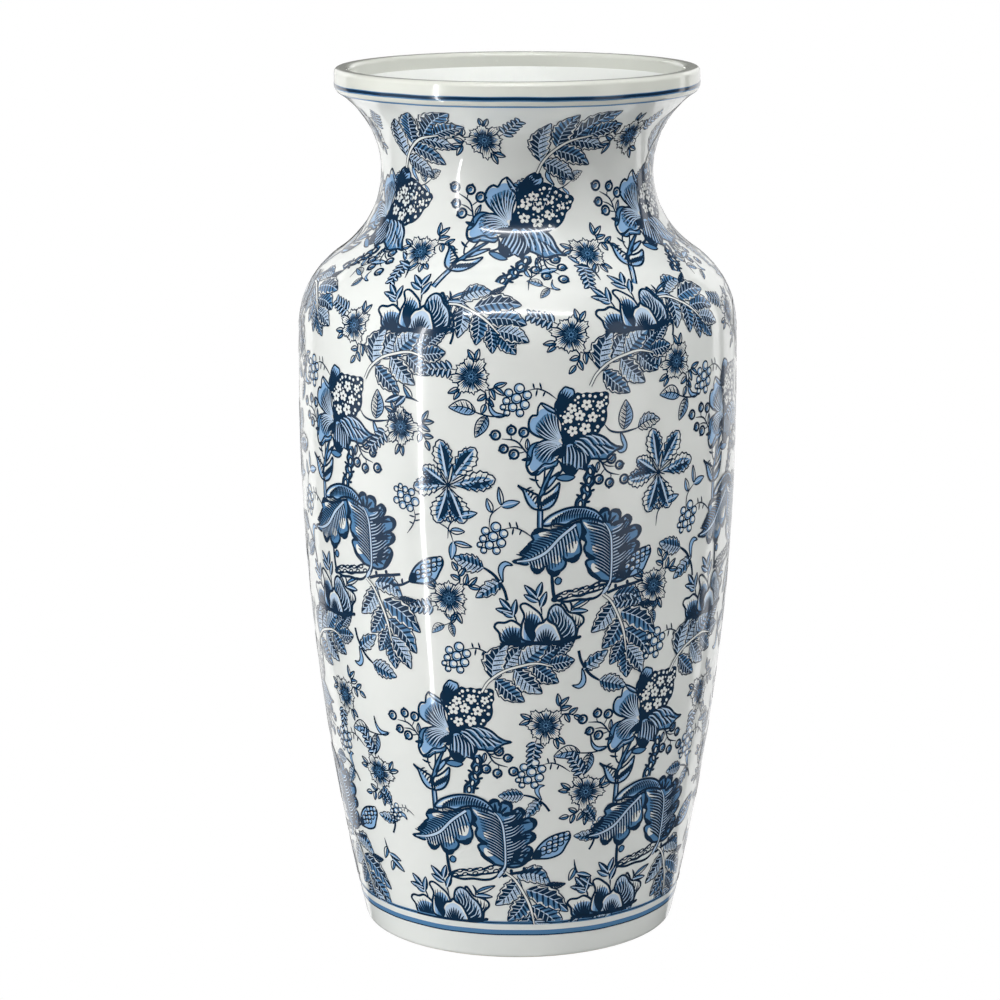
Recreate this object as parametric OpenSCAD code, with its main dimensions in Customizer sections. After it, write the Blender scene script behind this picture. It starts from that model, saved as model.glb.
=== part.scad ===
// A tall glazed pottery vase: tapered body, round shoulder, waisted neck and a flared
// mouth with a thick raised rim. It stands on a turned foot ring. The wall is built up
// from sections of clay that are joined edge to edge and fired into one pot.

/* [Body] */
// Height from the table to the top of the rim
height = 380; // [360:1:400]
// Radius of the outside where it meets the table
foot_r = 68.5; // [66:0.5:72]
// Largest radius of the body
belly_r = 96; // [92:0.5:100]
// Height of the largest radius
belly_z = 238; // [228:1:246]
// Height of the joint between the two body sections
body_joint_z = 122; // [80:1:180]
// Thickness of the wall
wall = 6; // [4:0.5:7]

/* [Shoulder and neck] */
// Radius of the shoulder's curve
shoulder_curve = 40; // [36:1:44]
// Outside radius of the neck at its narrowest
waist_r = 59; // [57:0.5:61]
// How far the narrowest part of the neck lies below the rim
waist_drop = 44; // [42:1:46]
// Radius of the curve from the shoulder up to the waist
neck_curve = 42; // [38:1:46]
// Radius of the curve from the waist up to the mouth
mouth_curve = 40; // [38:1:42]

/* [Rim] */
// Outside radius of the rim
rim_r = 79; // [78:0.5:80]
// Width of the rim, seen from above
rim_w = 6.5; // [5.5:0.5:7]
// Angle that the mouth's curve has turned outward where the rim begins
mouth_angle = 57; // [54:1:58]
// Rounding along the top edges of the rim
rim_round = 2; // [1:0.25:2.5]

/* [Foot] */
// Width of the flat face that the vase stands on, roundings included
foot_w = 11.5; // [10:0.5:13]
// Height of the foot ring, which is the depth of the recess under the floor
foot_h = 6; // [4:0.5:8]
// Rounding of the outer bottom edge
foot_round = 3; // [2:0.5:4]
// Rounding of the inner bottom edge
foot_inner_round = 1.5; // [1:0.5:2]
// Thickness of the floor
floor_t = 6; // [5:0.5:8]
// Rounding inside, where the wall rises from the floor
floor_fillet = 8; // [6:1:10]

/* [Hidden] */
$fn = 160;
clay = [0.93, 0.92, 0.88];
bare_clay = [0.86, 0.83, 0.77];
arc_step = 4;          // degrees from one point of a tight curve to the next
body_steps = 14;       // points along each section of the long body curve

waist_z = height - waist_drop;
floor_z = foot_h + floor_t;

// The long curve of the body is one circle through the foot and the belly.
taper = belly_r - foot_r;
body_curve = (belly_z * belly_z + taper * taper) / (2 * taper);
body_c = [belly_r - body_curve, belly_z];
neck_c = [waist_r + neck_curve, waist_z];
mouth_c = [waist_r + mouth_curve, waist_z];
shoulder_c = meeting_point(body_c, body_curve - shoulder_curve,
                           neck_c, neck_curve + shoulder_curve);

// Directions in which neighbouring curves touch, seen from their centres.
foot_a = -asin((belly_z - foot_h) / body_curve);
joint_a = -asin((belly_z - body_joint_z) / body_curve);
shoulder_start = direction(body_c, shoulder_c);
shoulder_end = direction(shoulder_c, neck_c);

// The mouth's curve, outside and inside, ends under the rim.
rim_inner_r = rim_r - rim_w;
mouth_end = on_circle(mouth_c, mouth_curve, 180 - mouth_angle);
mouth_inner_a = 180 - acos((mouth_c[0] - rim_inner_r) / (mouth_curve + wall));
mouth_inner_end = on_circle(mouth_c, mouth_curve + wall, mouth_inner_a);
under_rim_curve = (rim_r - mouth_end[0]) / (1 - cos(mouth_angle));
under_rim_c = [rim_r - under_rim_curve,
               mouth_end[1] + under_rim_curve * sin(mouth_angle)];

// Roundings that run into the body's curve: outside at the foot, and inside at the floor.
inner_curve = body_curve - wall;
foot_edge_c = inside_body(foot_round, body_curve - foot_round);
fillet_c = inside_body(floor_z + floor_fillet, inner_curve - floor_fillet);

function on_circle(c, r, a) = c + r * [cos(a), sin(a)];

function direction(from, to) = atan2(to[1] - from[1], to[0] - from[0]);

// Points of an arc from angle a to angle b, both ends included.
function arc(c, r, a, b, steps = 0) =
    let (n = steps > 0 ? steps : max(2, ceil(abs(b - a) / arc_step)))
    [for (i = [0:n]) on_circle(c, r, a + (b - a) * i / n)];

// Where circles of radius ra about a and rb about b cross, on the right of the line
// from a to b.
function meeting_point(a, ra, b, rb) =
    let (d = norm(b - a),
         along = (ra * ra - rb * rb + d * d) / (2 * d),
         off = sqrt(ra * ra - along * along),
         e = (b - a) / d)
    a + along * e + off * [e[1], -e[0]];

// The point at height z that lies at distance r from the body curve's centre.
function inside_body(z, r) = [body_c[0] + sqrt(r * r - pow(belly_z - z, 2)), z];

// A ring turned about the vase's axis from its half section.
module turned(points) {
    rotate_extrude() polygon(points);
}

// The wall between two directions on one curve. The wall lies inside the curve when
// inward is 1, and outside the curve's circle when inward is -1.
function wall_section(c, r, a, b, inward, steps = 0) =
    concat(arc(c, r, a, b, steps), arc(c, r - inward * wall, b, a, steps));

module foot_ring() {
    inner = foot_r - foot_w;
    color(bare_clay) turned(concat(
        arc(foot_edge_c, foot_round, -90, direction(body_c, foot_edge_c)),
        [on_circle(body_c, body_curve, foot_a)],
        [[inner, foot_h]],
        arc([inner + foot_inner_round, foot_inner_round], foot_inner_round, 180, 270)));
}

module floor_disc() {
    color(clay) translate([0, 0, foot_h]) cylinder(r = fillet_c[0], h = floor_t);
}

module lower_body() {
    fillet_a = direction(body_c, fillet_c);
    color(clay) turned(concat(
        arc(body_c, body_curve, foot_a, joint_a, body_steps),
        arc(body_c, inner_curve, joint_a, fillet_a, body_steps),
        arc(fillet_c, floor_fillet, fillet_a, -90),
        [[fillet_c[0], foot_h]]));
}

module upper_body() {
    color(clay) turned(
        wall_section(body_c, body_curve, joint_a, shoulder_start, 1, body_steps));
}

module shoulder() {
    color(clay) turned(
        wall_section(shoulder_c, shoulder_curve, shoulder_start, shoulder_end, 1));
}

module neck() {
    color(clay) turned(
        wall_section(neck_c, neck_curve, shoulder_end + 180, 180, -1));
}

module flared_mouth() {
    color(clay) turned(concat(
        arc(mouth_c, mouth_curve, 180, 180 - mouth_angle),
        arc(mouth_c, mouth_curve + wall, mouth_inner_a, 180)));
}

module rim_ring() {
    top = height - rim_round;
    color(clay) turned(concat(
        arc(under_rim_c, under_rim_curve, -mouth_angle, 0),
        arc([rim_r - rim_round, top], rim_round, 0, 90),
        arc([rim_inner_r + rim_round, top], rim_round, 90, 180),
        [mouth_inner_end]));
}

foot_ring();
floor_disc();
lower_body();
upper_body();
shoulder();
neck();
flared_mouth();
rim_ring();
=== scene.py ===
"""A tall white pottery vase under a clear glaze, printed all over with blue flowers.

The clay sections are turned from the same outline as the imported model. The print is drawn
flat, in millimetres, motif by motif, and is then wrapped round the outside of the vase.
"""
import math

import bpy
import numpy as np
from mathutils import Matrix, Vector, geometry


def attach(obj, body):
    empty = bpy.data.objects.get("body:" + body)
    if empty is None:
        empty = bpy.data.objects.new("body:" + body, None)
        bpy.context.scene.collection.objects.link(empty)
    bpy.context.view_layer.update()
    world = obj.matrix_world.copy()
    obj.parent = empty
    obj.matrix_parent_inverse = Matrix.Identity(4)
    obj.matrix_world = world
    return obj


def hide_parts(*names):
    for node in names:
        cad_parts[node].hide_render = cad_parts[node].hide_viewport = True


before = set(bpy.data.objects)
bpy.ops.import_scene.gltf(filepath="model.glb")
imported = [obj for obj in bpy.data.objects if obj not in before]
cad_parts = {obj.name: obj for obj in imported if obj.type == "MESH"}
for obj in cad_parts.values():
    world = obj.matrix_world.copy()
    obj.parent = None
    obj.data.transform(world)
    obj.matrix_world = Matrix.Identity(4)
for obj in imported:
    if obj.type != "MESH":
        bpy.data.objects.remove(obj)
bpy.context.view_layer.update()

MM = 0.001
ACROSS = MM * 0.997    # slightly under size, so that the print also stays inside the CAD box

# Driving sizes of the vase, in millimetres and degrees
HEIGHT = 380
FOOT_R = 68.5
BELLY_R = 96
BELLY_Z = 238
BODY_JOINT_Z = 122
WALL = 6
SHOULDER_CURVE = 40
WAIST_R = 59
WAIST_Z = HEIGHT - 44
NECK_CURVE = 42
MOUTH_CURVE = 40
MOUTH_ANGLE = 57
RIM_R = 79
RIM_W = 6.5
RIM_ROUND = 2
FOOT_W = 11.5
FOOT_H = 6
FOOT_ROUND = 3
FOOT_INNER_ROUND = 1.5
FLOOR_Z = 12
FLOOR_FILLET = 8
BARE_TO = -50    # the angle on the foot's outer round where the glaze starts

AROUND = 288    # faces round a turned section
ARC_STEP = 4    # degrees of an ordinary arc to one of its steps
LONG_ARC_STEPS = 28
FEWEST_STEPS = 2
SAME_POINT = 1e-6
DIGITS = 5    # points of the outline that are equal to this many digits share one ring


# ---------------------------------------------------------------- outline of the vase

def on_circle(centre, radius, angle):
    """The point of a circle at that angle, in degrees."""
    turn = math.radians(angle)
    return (centre[0] + radius * math.cos(turn), centre[1] + radius * math.sin(turn))


def direction(start, end):
    """The angle from one point to another, in degrees."""
    return math.degrees(math.atan2(end[1] - start[1], end[0] - start[0]))


def meeting_point(a, ra, b, rb):
    """Where circles of radius ra about a and rb about b cross, right of the line a to b."""
    reach = math.dist(a, b)
    along = (ra * ra - rb * rb + reach * reach) / (2 * reach)
    off = math.sqrt(ra * ra - along * along)
    east = ((b[0] - a[0]) / reach, (b[1] - a[1]) / reach)
    return (a[0] + along * east[0] + off * east[1], a[1] + along * east[1] - off * east[0])


def inside_body(z, radius):
    """The point at height z that lies at that distance from the body curve's centre."""
    return (BODY_C[0] + math.sqrt(radius ** 2 - (BELLY_Z - z) ** 2), z)


def body_angle(z):
    """The angle on the body curve, in degrees, that belongs to a height below the belly."""
    return -math.degrees(math.asin((BELLY_Z - z) / BODY_CURVE))


TAPER = BELLY_R - FOOT_R
BODY_CURVE = (BELLY_Z ** 2 + TAPER ** 2) / (2 * TAPER)
BODY_C = (BELLY_R - BODY_CURVE, BELLY_Z)
NECK_C = (WAIST_R + NECK_CURVE, WAIST_Z)
MOUTH_C = (WAIST_R + MOUTH_CURVE, WAIST_Z)
SHOULDER_C = meeting_point(BODY_C, BODY_CURVE - SHOULDER_CURVE,
                           NECK_C, NECK_CURVE + SHOULDER_CURVE)
SHOULDER_START = direction(BODY_C, SHOULDER_C)
SHOULDER_END = direction(SHOULDER_C, NECK_C)
INNER_CURVE = BODY_CURVE - WALL
FOOT_INNER_R = FOOT_R - FOOT_W
FOOT_EDGE_C = inside_body(FOOT_ROUND, BODY_CURVE - FOOT_ROUND)
FOOT_EDGE_END = direction(BODY_C, FOOT_EDGE_C)
FILLET_C = inside_body(FLOOR_Z + FLOOR_FILLET, INNER_CURVE - FLOOR_FILLET)
FOOT_ANGLE = body_angle(FOOT_H)
JOINT_ANGLE = body_angle(BODY_JOINT_Z)
RIM_INNER_R = RIM_R - RIM_W
MOUTH_END = on_circle(MOUTH_C, MOUTH_CURVE, 180 - MOUTH_ANGLE)
MOUTH_INNER_ANGLE = 180 - math.degrees(
    math.acos((MOUTH_C[0] - RIM_INNER_R) / (MOUTH_CURVE + WALL)))
MOUTH_INNER_END = on_circle(MOUTH_C, MOUTH_CURVE + WALL, MOUTH_INNER_ANGLE)
UNDER_RIM_CURVE = (RIM_R - MOUTH_END[0]) / (1 - math.cos(math.radians(MOUTH_ANGLE)))
UNDER_RIM_C = (RIM_R - UNDER_RIM_CURVE,
               MOUTH_END[1] + UNDER_RIM_CURVE * math.sin(math.radians(MOUTH_ANGLE)))


def arc(centre, radius, start, end, facing=1, steps=0):
    """Points of an arc with their normals, which point away from the centre when facing is 1."""
    count = steps or max(FEWEST_STEPS, math.ceil(abs(end - start) / ARC_STEP))
    run = []
    for i in range(count + 1):
        angle = start + (end - start) * i / count
        turn = math.radians(angle)
        normal = (facing * math.cos(turn), facing * math.sin(turn))
        run.append((on_circle(centre, radius, angle), normal))
    return run


def straight(start, end):
    """The two ends of a straight stretch. The outline runs anticlockwise, clay on its left."""
    dx, dz = end[0] - start[0], end[1] - start[1]
    length = math.hypot(dx, dz)
    normal = (dz / length, -dx / length)
    return [(start, normal), (end, normal)]


def body_arc(start, end, steps=LONG_ARC_STEPS):
    """A stretch of the body's outside."""
    return arc(BODY_C, BODY_CURVE, start, end, 1, steps)


def joined(runs):
    """A closed outline: the given runs, with straight stretches where they don't meet."""
    outline = []
    for i, run in enumerate(runs):
        outline.append(run)
        end = run[-1][0]
        start = runs[(i + 1) % len(runs)][0][0]
        if math.dist(end, start) > SAME_POINT:
            outline.append(straight(end, start))
    return outline


def foot_underside():
    """The bare clay that the vase stands on, from the foot's inner round to its outer one."""
    inner_c = (FOOT_INNER_R + FOOT_INNER_ROUND, FOOT_INNER_ROUND)
    inner = arc(inner_c, FOOT_INNER_ROUND, 180, 270, steps=6)
    outer = arc(FOOT_EDGE_C, FOOT_ROUND, -90, BARE_TO, steps=4)
    return [inner, straight(inner[-1][0], outer[0][0]), outer]


def section_outlines():
    """The outline of each clay section, by node name."""
    foot_top = on_circle(BODY_C, BODY_CURVE, FOOT_ANGLE)
    foot_corner = (FOOT_INNER_R, FOOT_H)
    fillet_angle = direction(BODY_C, FILLET_C)
    floor_r = FILLET_C[0]
    rim_top = HEIGHT - RIM_ROUND
    return {
        "foot_ring": [
            arc(FOOT_EDGE_C, FOOT_ROUND, BARE_TO, FOOT_EDGE_END, steps=10),
            body_arc(FOOT_EDGE_END, FOOT_ANGLE, FEWEST_STEPS),
            straight(foot_top, foot_corner),
            straight(foot_corner, (FOOT_INNER_R, FOOT_INNER_ROUND))],
        "floor_disc": [
            straight((0, FOOT_H), (floor_r, FOOT_H)),
            straight((floor_r, FOOT_H), (floor_r, FLOOR_Z)),
            straight((floor_r, FLOOR_Z), (0, FLOOR_Z))],
        "lower_body": joined([
            body_arc(FOOT_ANGLE, JOINT_ANGLE),
            arc(BODY_C, INNER_CURVE, JOINT_ANGLE, fillet_angle, -1, LONG_ARC_STEPS),
            arc(FILLET_C, FLOOR_FILLET, fillet_angle, -90, -1, steps=12),
            straight((floor_r, FLOOR_Z), (floor_r, FOOT_H))]),
        "upper_body": joined([
            body_arc(JOINT_ANGLE, SHOULDER_START),
            arc(BODY_C, INNER_CURVE, SHOULDER_START, JOINT_ANGLE, -1, LONG_ARC_STEPS)]),
        "shoulder": joined([
            arc(SHOULDER_C, SHOULDER_CURVE, SHOULDER_START, SHOULDER_END),
            arc(SHOULDER_C, SHOULDER_CURVE - WALL, SHOULDER_END, SHOULDER_START, -1)]),
        "neck": joined([
            arc(NECK_C, NECK_CURVE, SHOULDER_END + 180, 180, -1),
            arc(NECK_C, NECK_CURVE + WALL, 180, SHOULDER_END + 180)]),
        "flared_mouth": joined([
            arc(MOUTH_C, MOUTH_CURVE, 180, 180 - MOUTH_ANGLE, -1),
            arc(MOUTH_C, MOUTH_CURVE + WALL, MOUTH_INNER_ANGLE, 180)]),
        "rim_ring": joined([
            arc(UNDER_RIM_C, UNDER_RIM_CURVE, -MOUTH_ANGLE, 0, steps=8),
            arc((RIM_R - RIM_ROUND, rim_top), RIM_ROUND, 0, 90, steps=8),
            arc((RIM_INNER_R + RIM_ROUND, rim_top), RIM_ROUND, 90, 180, steps=8),
            straight((RIM_INNER_R, rim_top), MOUTH_INNER_END)]),
    }


def new_object(name, points, faces, normals=None):
    """A mesh object. normals holds one normal for each corner of each face."""
    mesh = bpy.data.meshes.new(name)
    mesh.from_pydata(points, [], faces)
    mesh.update()
    if normals is not None:
        mesh.shade_smooth()
        mesh.normals_split_custom_set(normals)
    obj = bpy.data.objects.new(name, mesh)
    bpy.context.scene.collection.objects.link(obj)
    return obj


def turned(name, outline):
    """An outline turned about the vase's axis, with sharp edges where its runs meet."""
    ring_of, radii, heights = {}, [], []

    def ring(point):
        """The number of the ring of points through a point of the outline."""
        key = (round(point[0], DIGITS), round(point[1], DIGITS))
        if key not in ring_of:
            ring_of[key] = len(radii)
            radii.append(point[0])
            heights.append(point[1])
        return ring_of[key]

    spans = [(ring(a), ring(b), na, nb) for run in outline for (a, na), (b, nb) in zip(run, run[1:])]
    turns = [math.tau * i / AROUND for i in range(AROUND)]
    sides = [(math.cos(turn), math.sin(turn)) for turn in turns]
    points, first = [], []
    for radius, height in zip(radii, heights):
        first.append(len(points))
        if radius == 0:
            points.append((0, 0, height * MM))
        else:
            points += [(radius * c * ACROSS, radius * s * ACROSS, height * MM) for c, s in sides]

    faces, normals = [], []
    for lower, upper, na, nb in spans:
        for i in range(AROUND):
            j = (i + 1) % AROUND
            corners = {}
            for number, normal, k in ((lower, na, i), (lower, na, j), (upper, nb, j), (upper, nb, i)):
                corner = first[number] + (0 if radii[number] == 0 else k)
                c, s = sides[k]
                corners.setdefault(corner, (normal[0] * c, normal[0] * s, normal[1]))
            if len(corners) > 2:
                faces.append(list(corners))
                normals += corners.values()
    return new_object(name, points, faces, normals)


# ---------------------------------------------------------------- drawing tools for the print

LINE = 0.5           # the usual width of a line, in millimetres
WEIGHT = 1.3         # how much heavier every line is than its width says
LINE_END = 0.35      # the share of its width that a line usually has left at an end
NARROWING = 3.5      # a line has its full width from 1 / 3.5 of its length on
CURVE_STEP = 0.9     # the spacing of the points along a curve
EDGE_STEP = 0.8      # the same round an ellipse and along a leaf
FEWEST_SIDES = 8
FILL_GRID = 2.3      # the spacing of the points inside a fill, which bend it round the wall
SAME_CORNER = 1e-4
TINY = 1e-9

# How far each tone lies above the clay, in millimetres, in the order that they are made.
# A motif's next level lies over all the tones of the one before.
LIFT = {"ground": 0.028, "pale": 0.040, "wash": 0.052, "mid": 0.064, "ink": 0.076, "white": 0.088,
        "vein": 0.094, "detail": 0.106}
LEVEL_STEP = 0.086
# Every third stamp of a motif has the same lift, so that stamps which overlap don't coincide
LIFT_STEP = 0.003
LIFTS = 3

# A leaf's veins. The first one's place, the stretch that has veins, and how much further on
# each ends are shares of the leaf's length. Its reach is a share of the leaf's half width.
FIRST_VEIN = 0.08
VEINED_STRETCH = 0.76
VEIN_SLANT = 0.13
LAST_VEIN_END = 0.98
VEIN_REACH = 0.86
# How they are drawn on a half of each tone: their own tone, their width and their end's share
VEINS = {"ink": ("vein", 0.26, 0.2), "mid": ("detail", 0.82, 0.3)}
LIGHT_VEINS = ("detail", 0.48, 0.3)


def through(points, closed=False):
    """A smooth curve through a few points, as a list of closely spaced points."""
    p = [np.array(q, float) for q in points]
    count = len(p)
    spans = count if closed else count - 1
    curve = []
    for i in range(spans):
        b, c = p[i], p[(i + 1) % count]
        a = p[i - 1] if closed or i else 2 * b - c
        d = p[(i + 2) % count] if closed or i + 2 < count else 2 * c - b
        steps = max(FEWEST_STEPS, round(float(np.linalg.norm(c - b)) / CURVE_STEP))
        for k in range(steps):
            t = k / steps
            curve.append(0.5 * (2 * b + (c - a) * t + (2 * a - 5 * b + 4 * c - d) * t * t
                                + (3 * b - a - 3 * c + d) * t ** 3))
    if not closed:
        curve.append(p[-1])
    return curve


def rotated(points, angle, x=0, y=0):
    """Flat points turned about the origin by that many degrees, and then moved by x and y."""
    c, s = math.cos(math.radians(angle)), math.sin(math.radians(angle))
    return [(x + c * u - s * v, y + s * u + c * v) for u, v in points]


def moved(points, dx, dy):
    """Flat points moved along x and y."""
    return [(x + dx, y + dy) for x, y in points]


def ellipse(x, y, rx, ry, turn=0, sides=0):
    """The points of an ellipse whose long way is turned by that many degrees."""
    count = sides or max(FEWEST_SIDES, round(math.tau * max(rx, ry) / EDGE_STEP))
    angles = [math.tau * i / count for i in range(count)]
    flat = [(rx * math.cos(a), ry * math.sin(a)) for a in angles]
    return [np.array(point) for point in rotated(flat, turn, x, y)]


class Motif:
    """One motif of the print, drawn flat: x runs right and y runs up, in millimetres."""

    def __init__(self):
        self.fills = {}
        self.strips = {}
        self.level = 0

    def fill(self, tone, outline):
        """An area of one tone inside a closed outline. Level 1 covers level 0, and so on."""
        self.fills.setdefault((tone, self.level), []).append([tuple(p) for p in outline])

    def stroke(self, tone, path, width=LINE, start=LINE_END, end=LINE_END):
        """A line along a path. It narrows to those shares of its width at its ends."""
        p = np.array(path, float)
        along = np.gradient(p, axis=0)
        along /= np.maximum(np.linalg.norm(along, axis=1, keepdims=True), TINY)
        side = np.stack([-along[:, 1], along[:, 0]], 1)
        t = np.linspace(0, 1, len(p))
        rise = start + (1 - start) * np.minimum(1, t * NARROWING)
        fall = end + (1 - end) * np.minimum(1, (1 - t) * NARROWING)
        half = (0.5 * WEIGHT * width * np.minimum(rise, fall))[:, None]
        self.strips.setdefault((tone, self.level), []).append((p + side * half, p - side * half))

    def ring(self, tone, outline, width):
        """A line of even width round a closed outline."""
        self.stroke(tone, outline + outline[:2], width, 1, 1)

    def blob(self, tone, points):
        """An area inside a smooth closed curve through a few points."""
        self.fill(tone, through(points, True))

    def shape(self, tone, points, line=LINE):
        """A blob with an ink outline."""
        self.blob(tone, points)
        self.ring("ink", through(points, True), line)

    def line(self, points, width=LINE, tone="ink", start=LINE_END, end=LINE_END):
        """A stroke along a smooth curve through a few points."""
        self.stroke(tone, through(points), width, start, end)

    def fan(self, hub, tips, width, skip, bow=0.06, tone="ink"):
        """Hatching: lines that spread from near a hub to each tip, slightly bowed. They leave
        out the first share of the way."""
        hub = np.array(hub, float)
        for tip in tips:
            tip = np.array(tip, float)
            reach = tip - hub
            start = hub + reach * skip
            middle = (start + tip) / 2 + bow * np.array((-reach[1], reach[0]))
            self.stroke(tone, through([start, middle, tip]), width, 0.9, 0.15)

    def dot(self, x, y, r, tone="ink"):
        """A small round dot."""
        self.fill(tone, ellipse(x, y, r, r, sides=6))

    def floret(self, x, y, size, turn):
        """A small white flower of five petals with an ink eye, on a dark ground."""
        for angle in range(0, 360, 72):
            petal_x, petal_y = on_circle((x, y), 0.6 * size, turn + angle)
            self.fill("white", ellipse(petal_x, petal_y, 0.42 * size, 0.36 * size, turn + angle, 8))
        self.dot(x, y, 0.2 * size, "detail")

    def berry(self, x, y, r, out):
        """A round berry with a shaded side and a dark tip at the angle out."""
        self.ring("ink", ellipse(x, y, r, r), 0.8)
        self.dot(*on_circle((x, y), r + 0.35, out), 0.6)
        self.fill("mid", ellipse(x - 0.2 * r, y - 0.15 * r, 0.6 * r, 0.5 * r, 40, 10))
        self.stroke("detail", ellipse(x, y, 0.5 * r, 0.5 * r)[1:6], 0.45)

    def leaf(self, base, tip, width, tones, lobes=0, depth=0.3, bend=0, hatch=0):
        """A pointed leaf with a midrib. tones are its left and right halves, seen from its
        base. lobes is the number of teeth on each edge, and depth how far they stand out.
        bend is how far the midrib bows, and hatch the number of veins on each side."""
        base, tip = np.array(base, float), np.array(tip, float)
        length = float(np.linalg.norm(tip - base))
        axis = (tip - base) / length
        side = np.array((-axis[1], axis[0]))
        points_to_a_tooth = 6
        count = max(FEWEST_SIDES, round(length / EDGE_STEP), lobes * points_to_a_tooth)
        steps = [i / count for i in range(count + 1)]

        def spine(t):
            """The point at a share of the way along the midrib."""
            return base + axis * length * t + side * bend * math.sin(math.pi * t)

        def reach(t):
            """How far the edge is from the midrib, teeth included."""
            swell = math.sin(math.pi * t ** 0.8) ** 0.85 if 0 < t < 1 else 0
            tooth = 1 + depth * ((lobes * t) % 1 - 0.6) if lobes else 1
            return width / 2 * swell * tooth

        def toned(t):
            """How far the half's tone goes, which is short of the edge and has its own teeth."""
            return reach(t) * (0.62 + 0.3 * ((lobes * t + 0.3) % 1) if lobes else 0.9)

        middle = [spine(t) for t in steps]
        for sign, tone in zip((1, -1), tones):
            edge = [spine(t) + side * sign * reach(t) for t in steps]
            self.fill("ground", edge + middle[::-1][1:-1])
            self.stroke("ink", edge, 0.45, 0.8, 0.9)
            if tone:
                inner = [spine(t) + side * sign * min(0.2, reach(t) * 0.2) for t in steps]
                outer = [spine(t) + side * sign * toned(t) for t in steps]
                self.fill("pale" if tone == "wash" and lobes else tone, outer + inner[::-1][1:-1])
            for i in range(hatch):
                near = FIRST_VEIN + VEINED_STRETCH * i / hatch
                far = min(LAST_VEIN_END, near + VEIN_SLANT)
                end = spine(far) + side * sign * reach(far) * VEIN_REACH
                self.leaf_vein(tone, spine(near), end, axis * length * 0.4 / hatch)
        self.stroke("vein" if all(tones) else "ink", middle[:-1], 0.4, 1, 0.4)

    def leaf_vein(self, tone, start, end, beyond):
        """One vein on a leaf half of that tone. On a light half, three dots lie beyond it."""
        vein_tone, width, last = VEINS.get(tone, LIGHT_VEINS)
        self.stroke(vein_tone, [start, 0.55 * start + 0.45 * end, end], width, 0.9, last)
        if tone not in VEINS:
            for share in (0.3, 0.55, 0.8):
                self.dot(*(start + (end - start) * share + beyond), 0.2)

    def compound_leaf(self, leaflets, teeth, rib, rib_width, rib_end):
        """Toothed leaflets, each a level, base, tip, width, tones and bend, on a pale midrib."""
        wider, depth = 1.08, 0.2
        for level, base, tip, width, tones, bend in leaflets:
            self.level = level
            self.leaf(base, tip, wider * width, tones, teeth, depth, bend, teeth + 1)
        self.level = 2
        self.line(rib, rib_width, "ink", 0.9, rib_end)
        self.line(rib, 0.7, "white", 0.9, 0.4)


def anticlockwise(outline):
    """True if a closed outline runs anticlockwise."""
    turned_on = zip(outline, outline[1:] + outline[:1])
    return sum(a[0] * b[1] - b[0] * a[1] for a, b in turned_on) > 0


def filled(outlines):
    """The flat points and faces inside closed outlines, with a grid of points among them."""
    corners, loops = [], []
    for outline in outlines:
        run = list(range(len(corners), len(corners) + len(outline)))
        corners += outline
        loops.append(run if anticlockwise(outline) else run[::-1])
    low, high = np.min(corners, axis=0), np.max(corners, axis=0)
    for i in range(int((high[0] - low[0]) / FILL_GRID)):
        for j in range(int((high[1] - low[1]) / FILL_GRID)):
            corners.append((low[0] + (i + 0.5 + 0.25 * (j % 2)) * FILL_GRID,
                            low[1] + (j + 0.5) * FILL_GRID))
    spots, _, faces, _, _, sources = geometry.delaunay_2d_cdt(corners, [], loops, 0, SAME_CORNER, True)
    inside = [face for face, source in zip(faces, sources) if source]
    used = sorted({k for face in inside for k in face})
    number = {k: i for i, k in enumerate(used)}
    return [tuple(spots[k]) for k in used], [[number[k] for k in face] for face in inside]


def strip(left, right):
    """The flat points and faces between the two edges of a line."""
    points = [tuple(point) for pair in zip(left, right) for point in pair]
    return points, [[k, k + 1, k + 3, k + 2] for k in range(0, len(points) - 2, 2)]


def flat_mesh(motif, tone):
    """The flat points, faces and levels of one tone of a motif."""
    patches = [(level, filled(outlines)) for (own_tone, level), outlines in motif.fills.items()
               if own_tone == tone]
    patches += [(level, strip(*edges)) for (own_tone, level), strips in motif.strips.items()
                if own_tone == tone for edges in strips]
    points, faces, levels = [], [], []
    for level, (own_points, own_faces) in patches:
        faces += [[len(points) + k for k in face] for face in own_faces]
        points += own_points
        levels += [level] * len(own_points)
    return np.array(points), faces, np.array(levels)


# ---------------------------------------------------------------- the motifs

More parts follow.
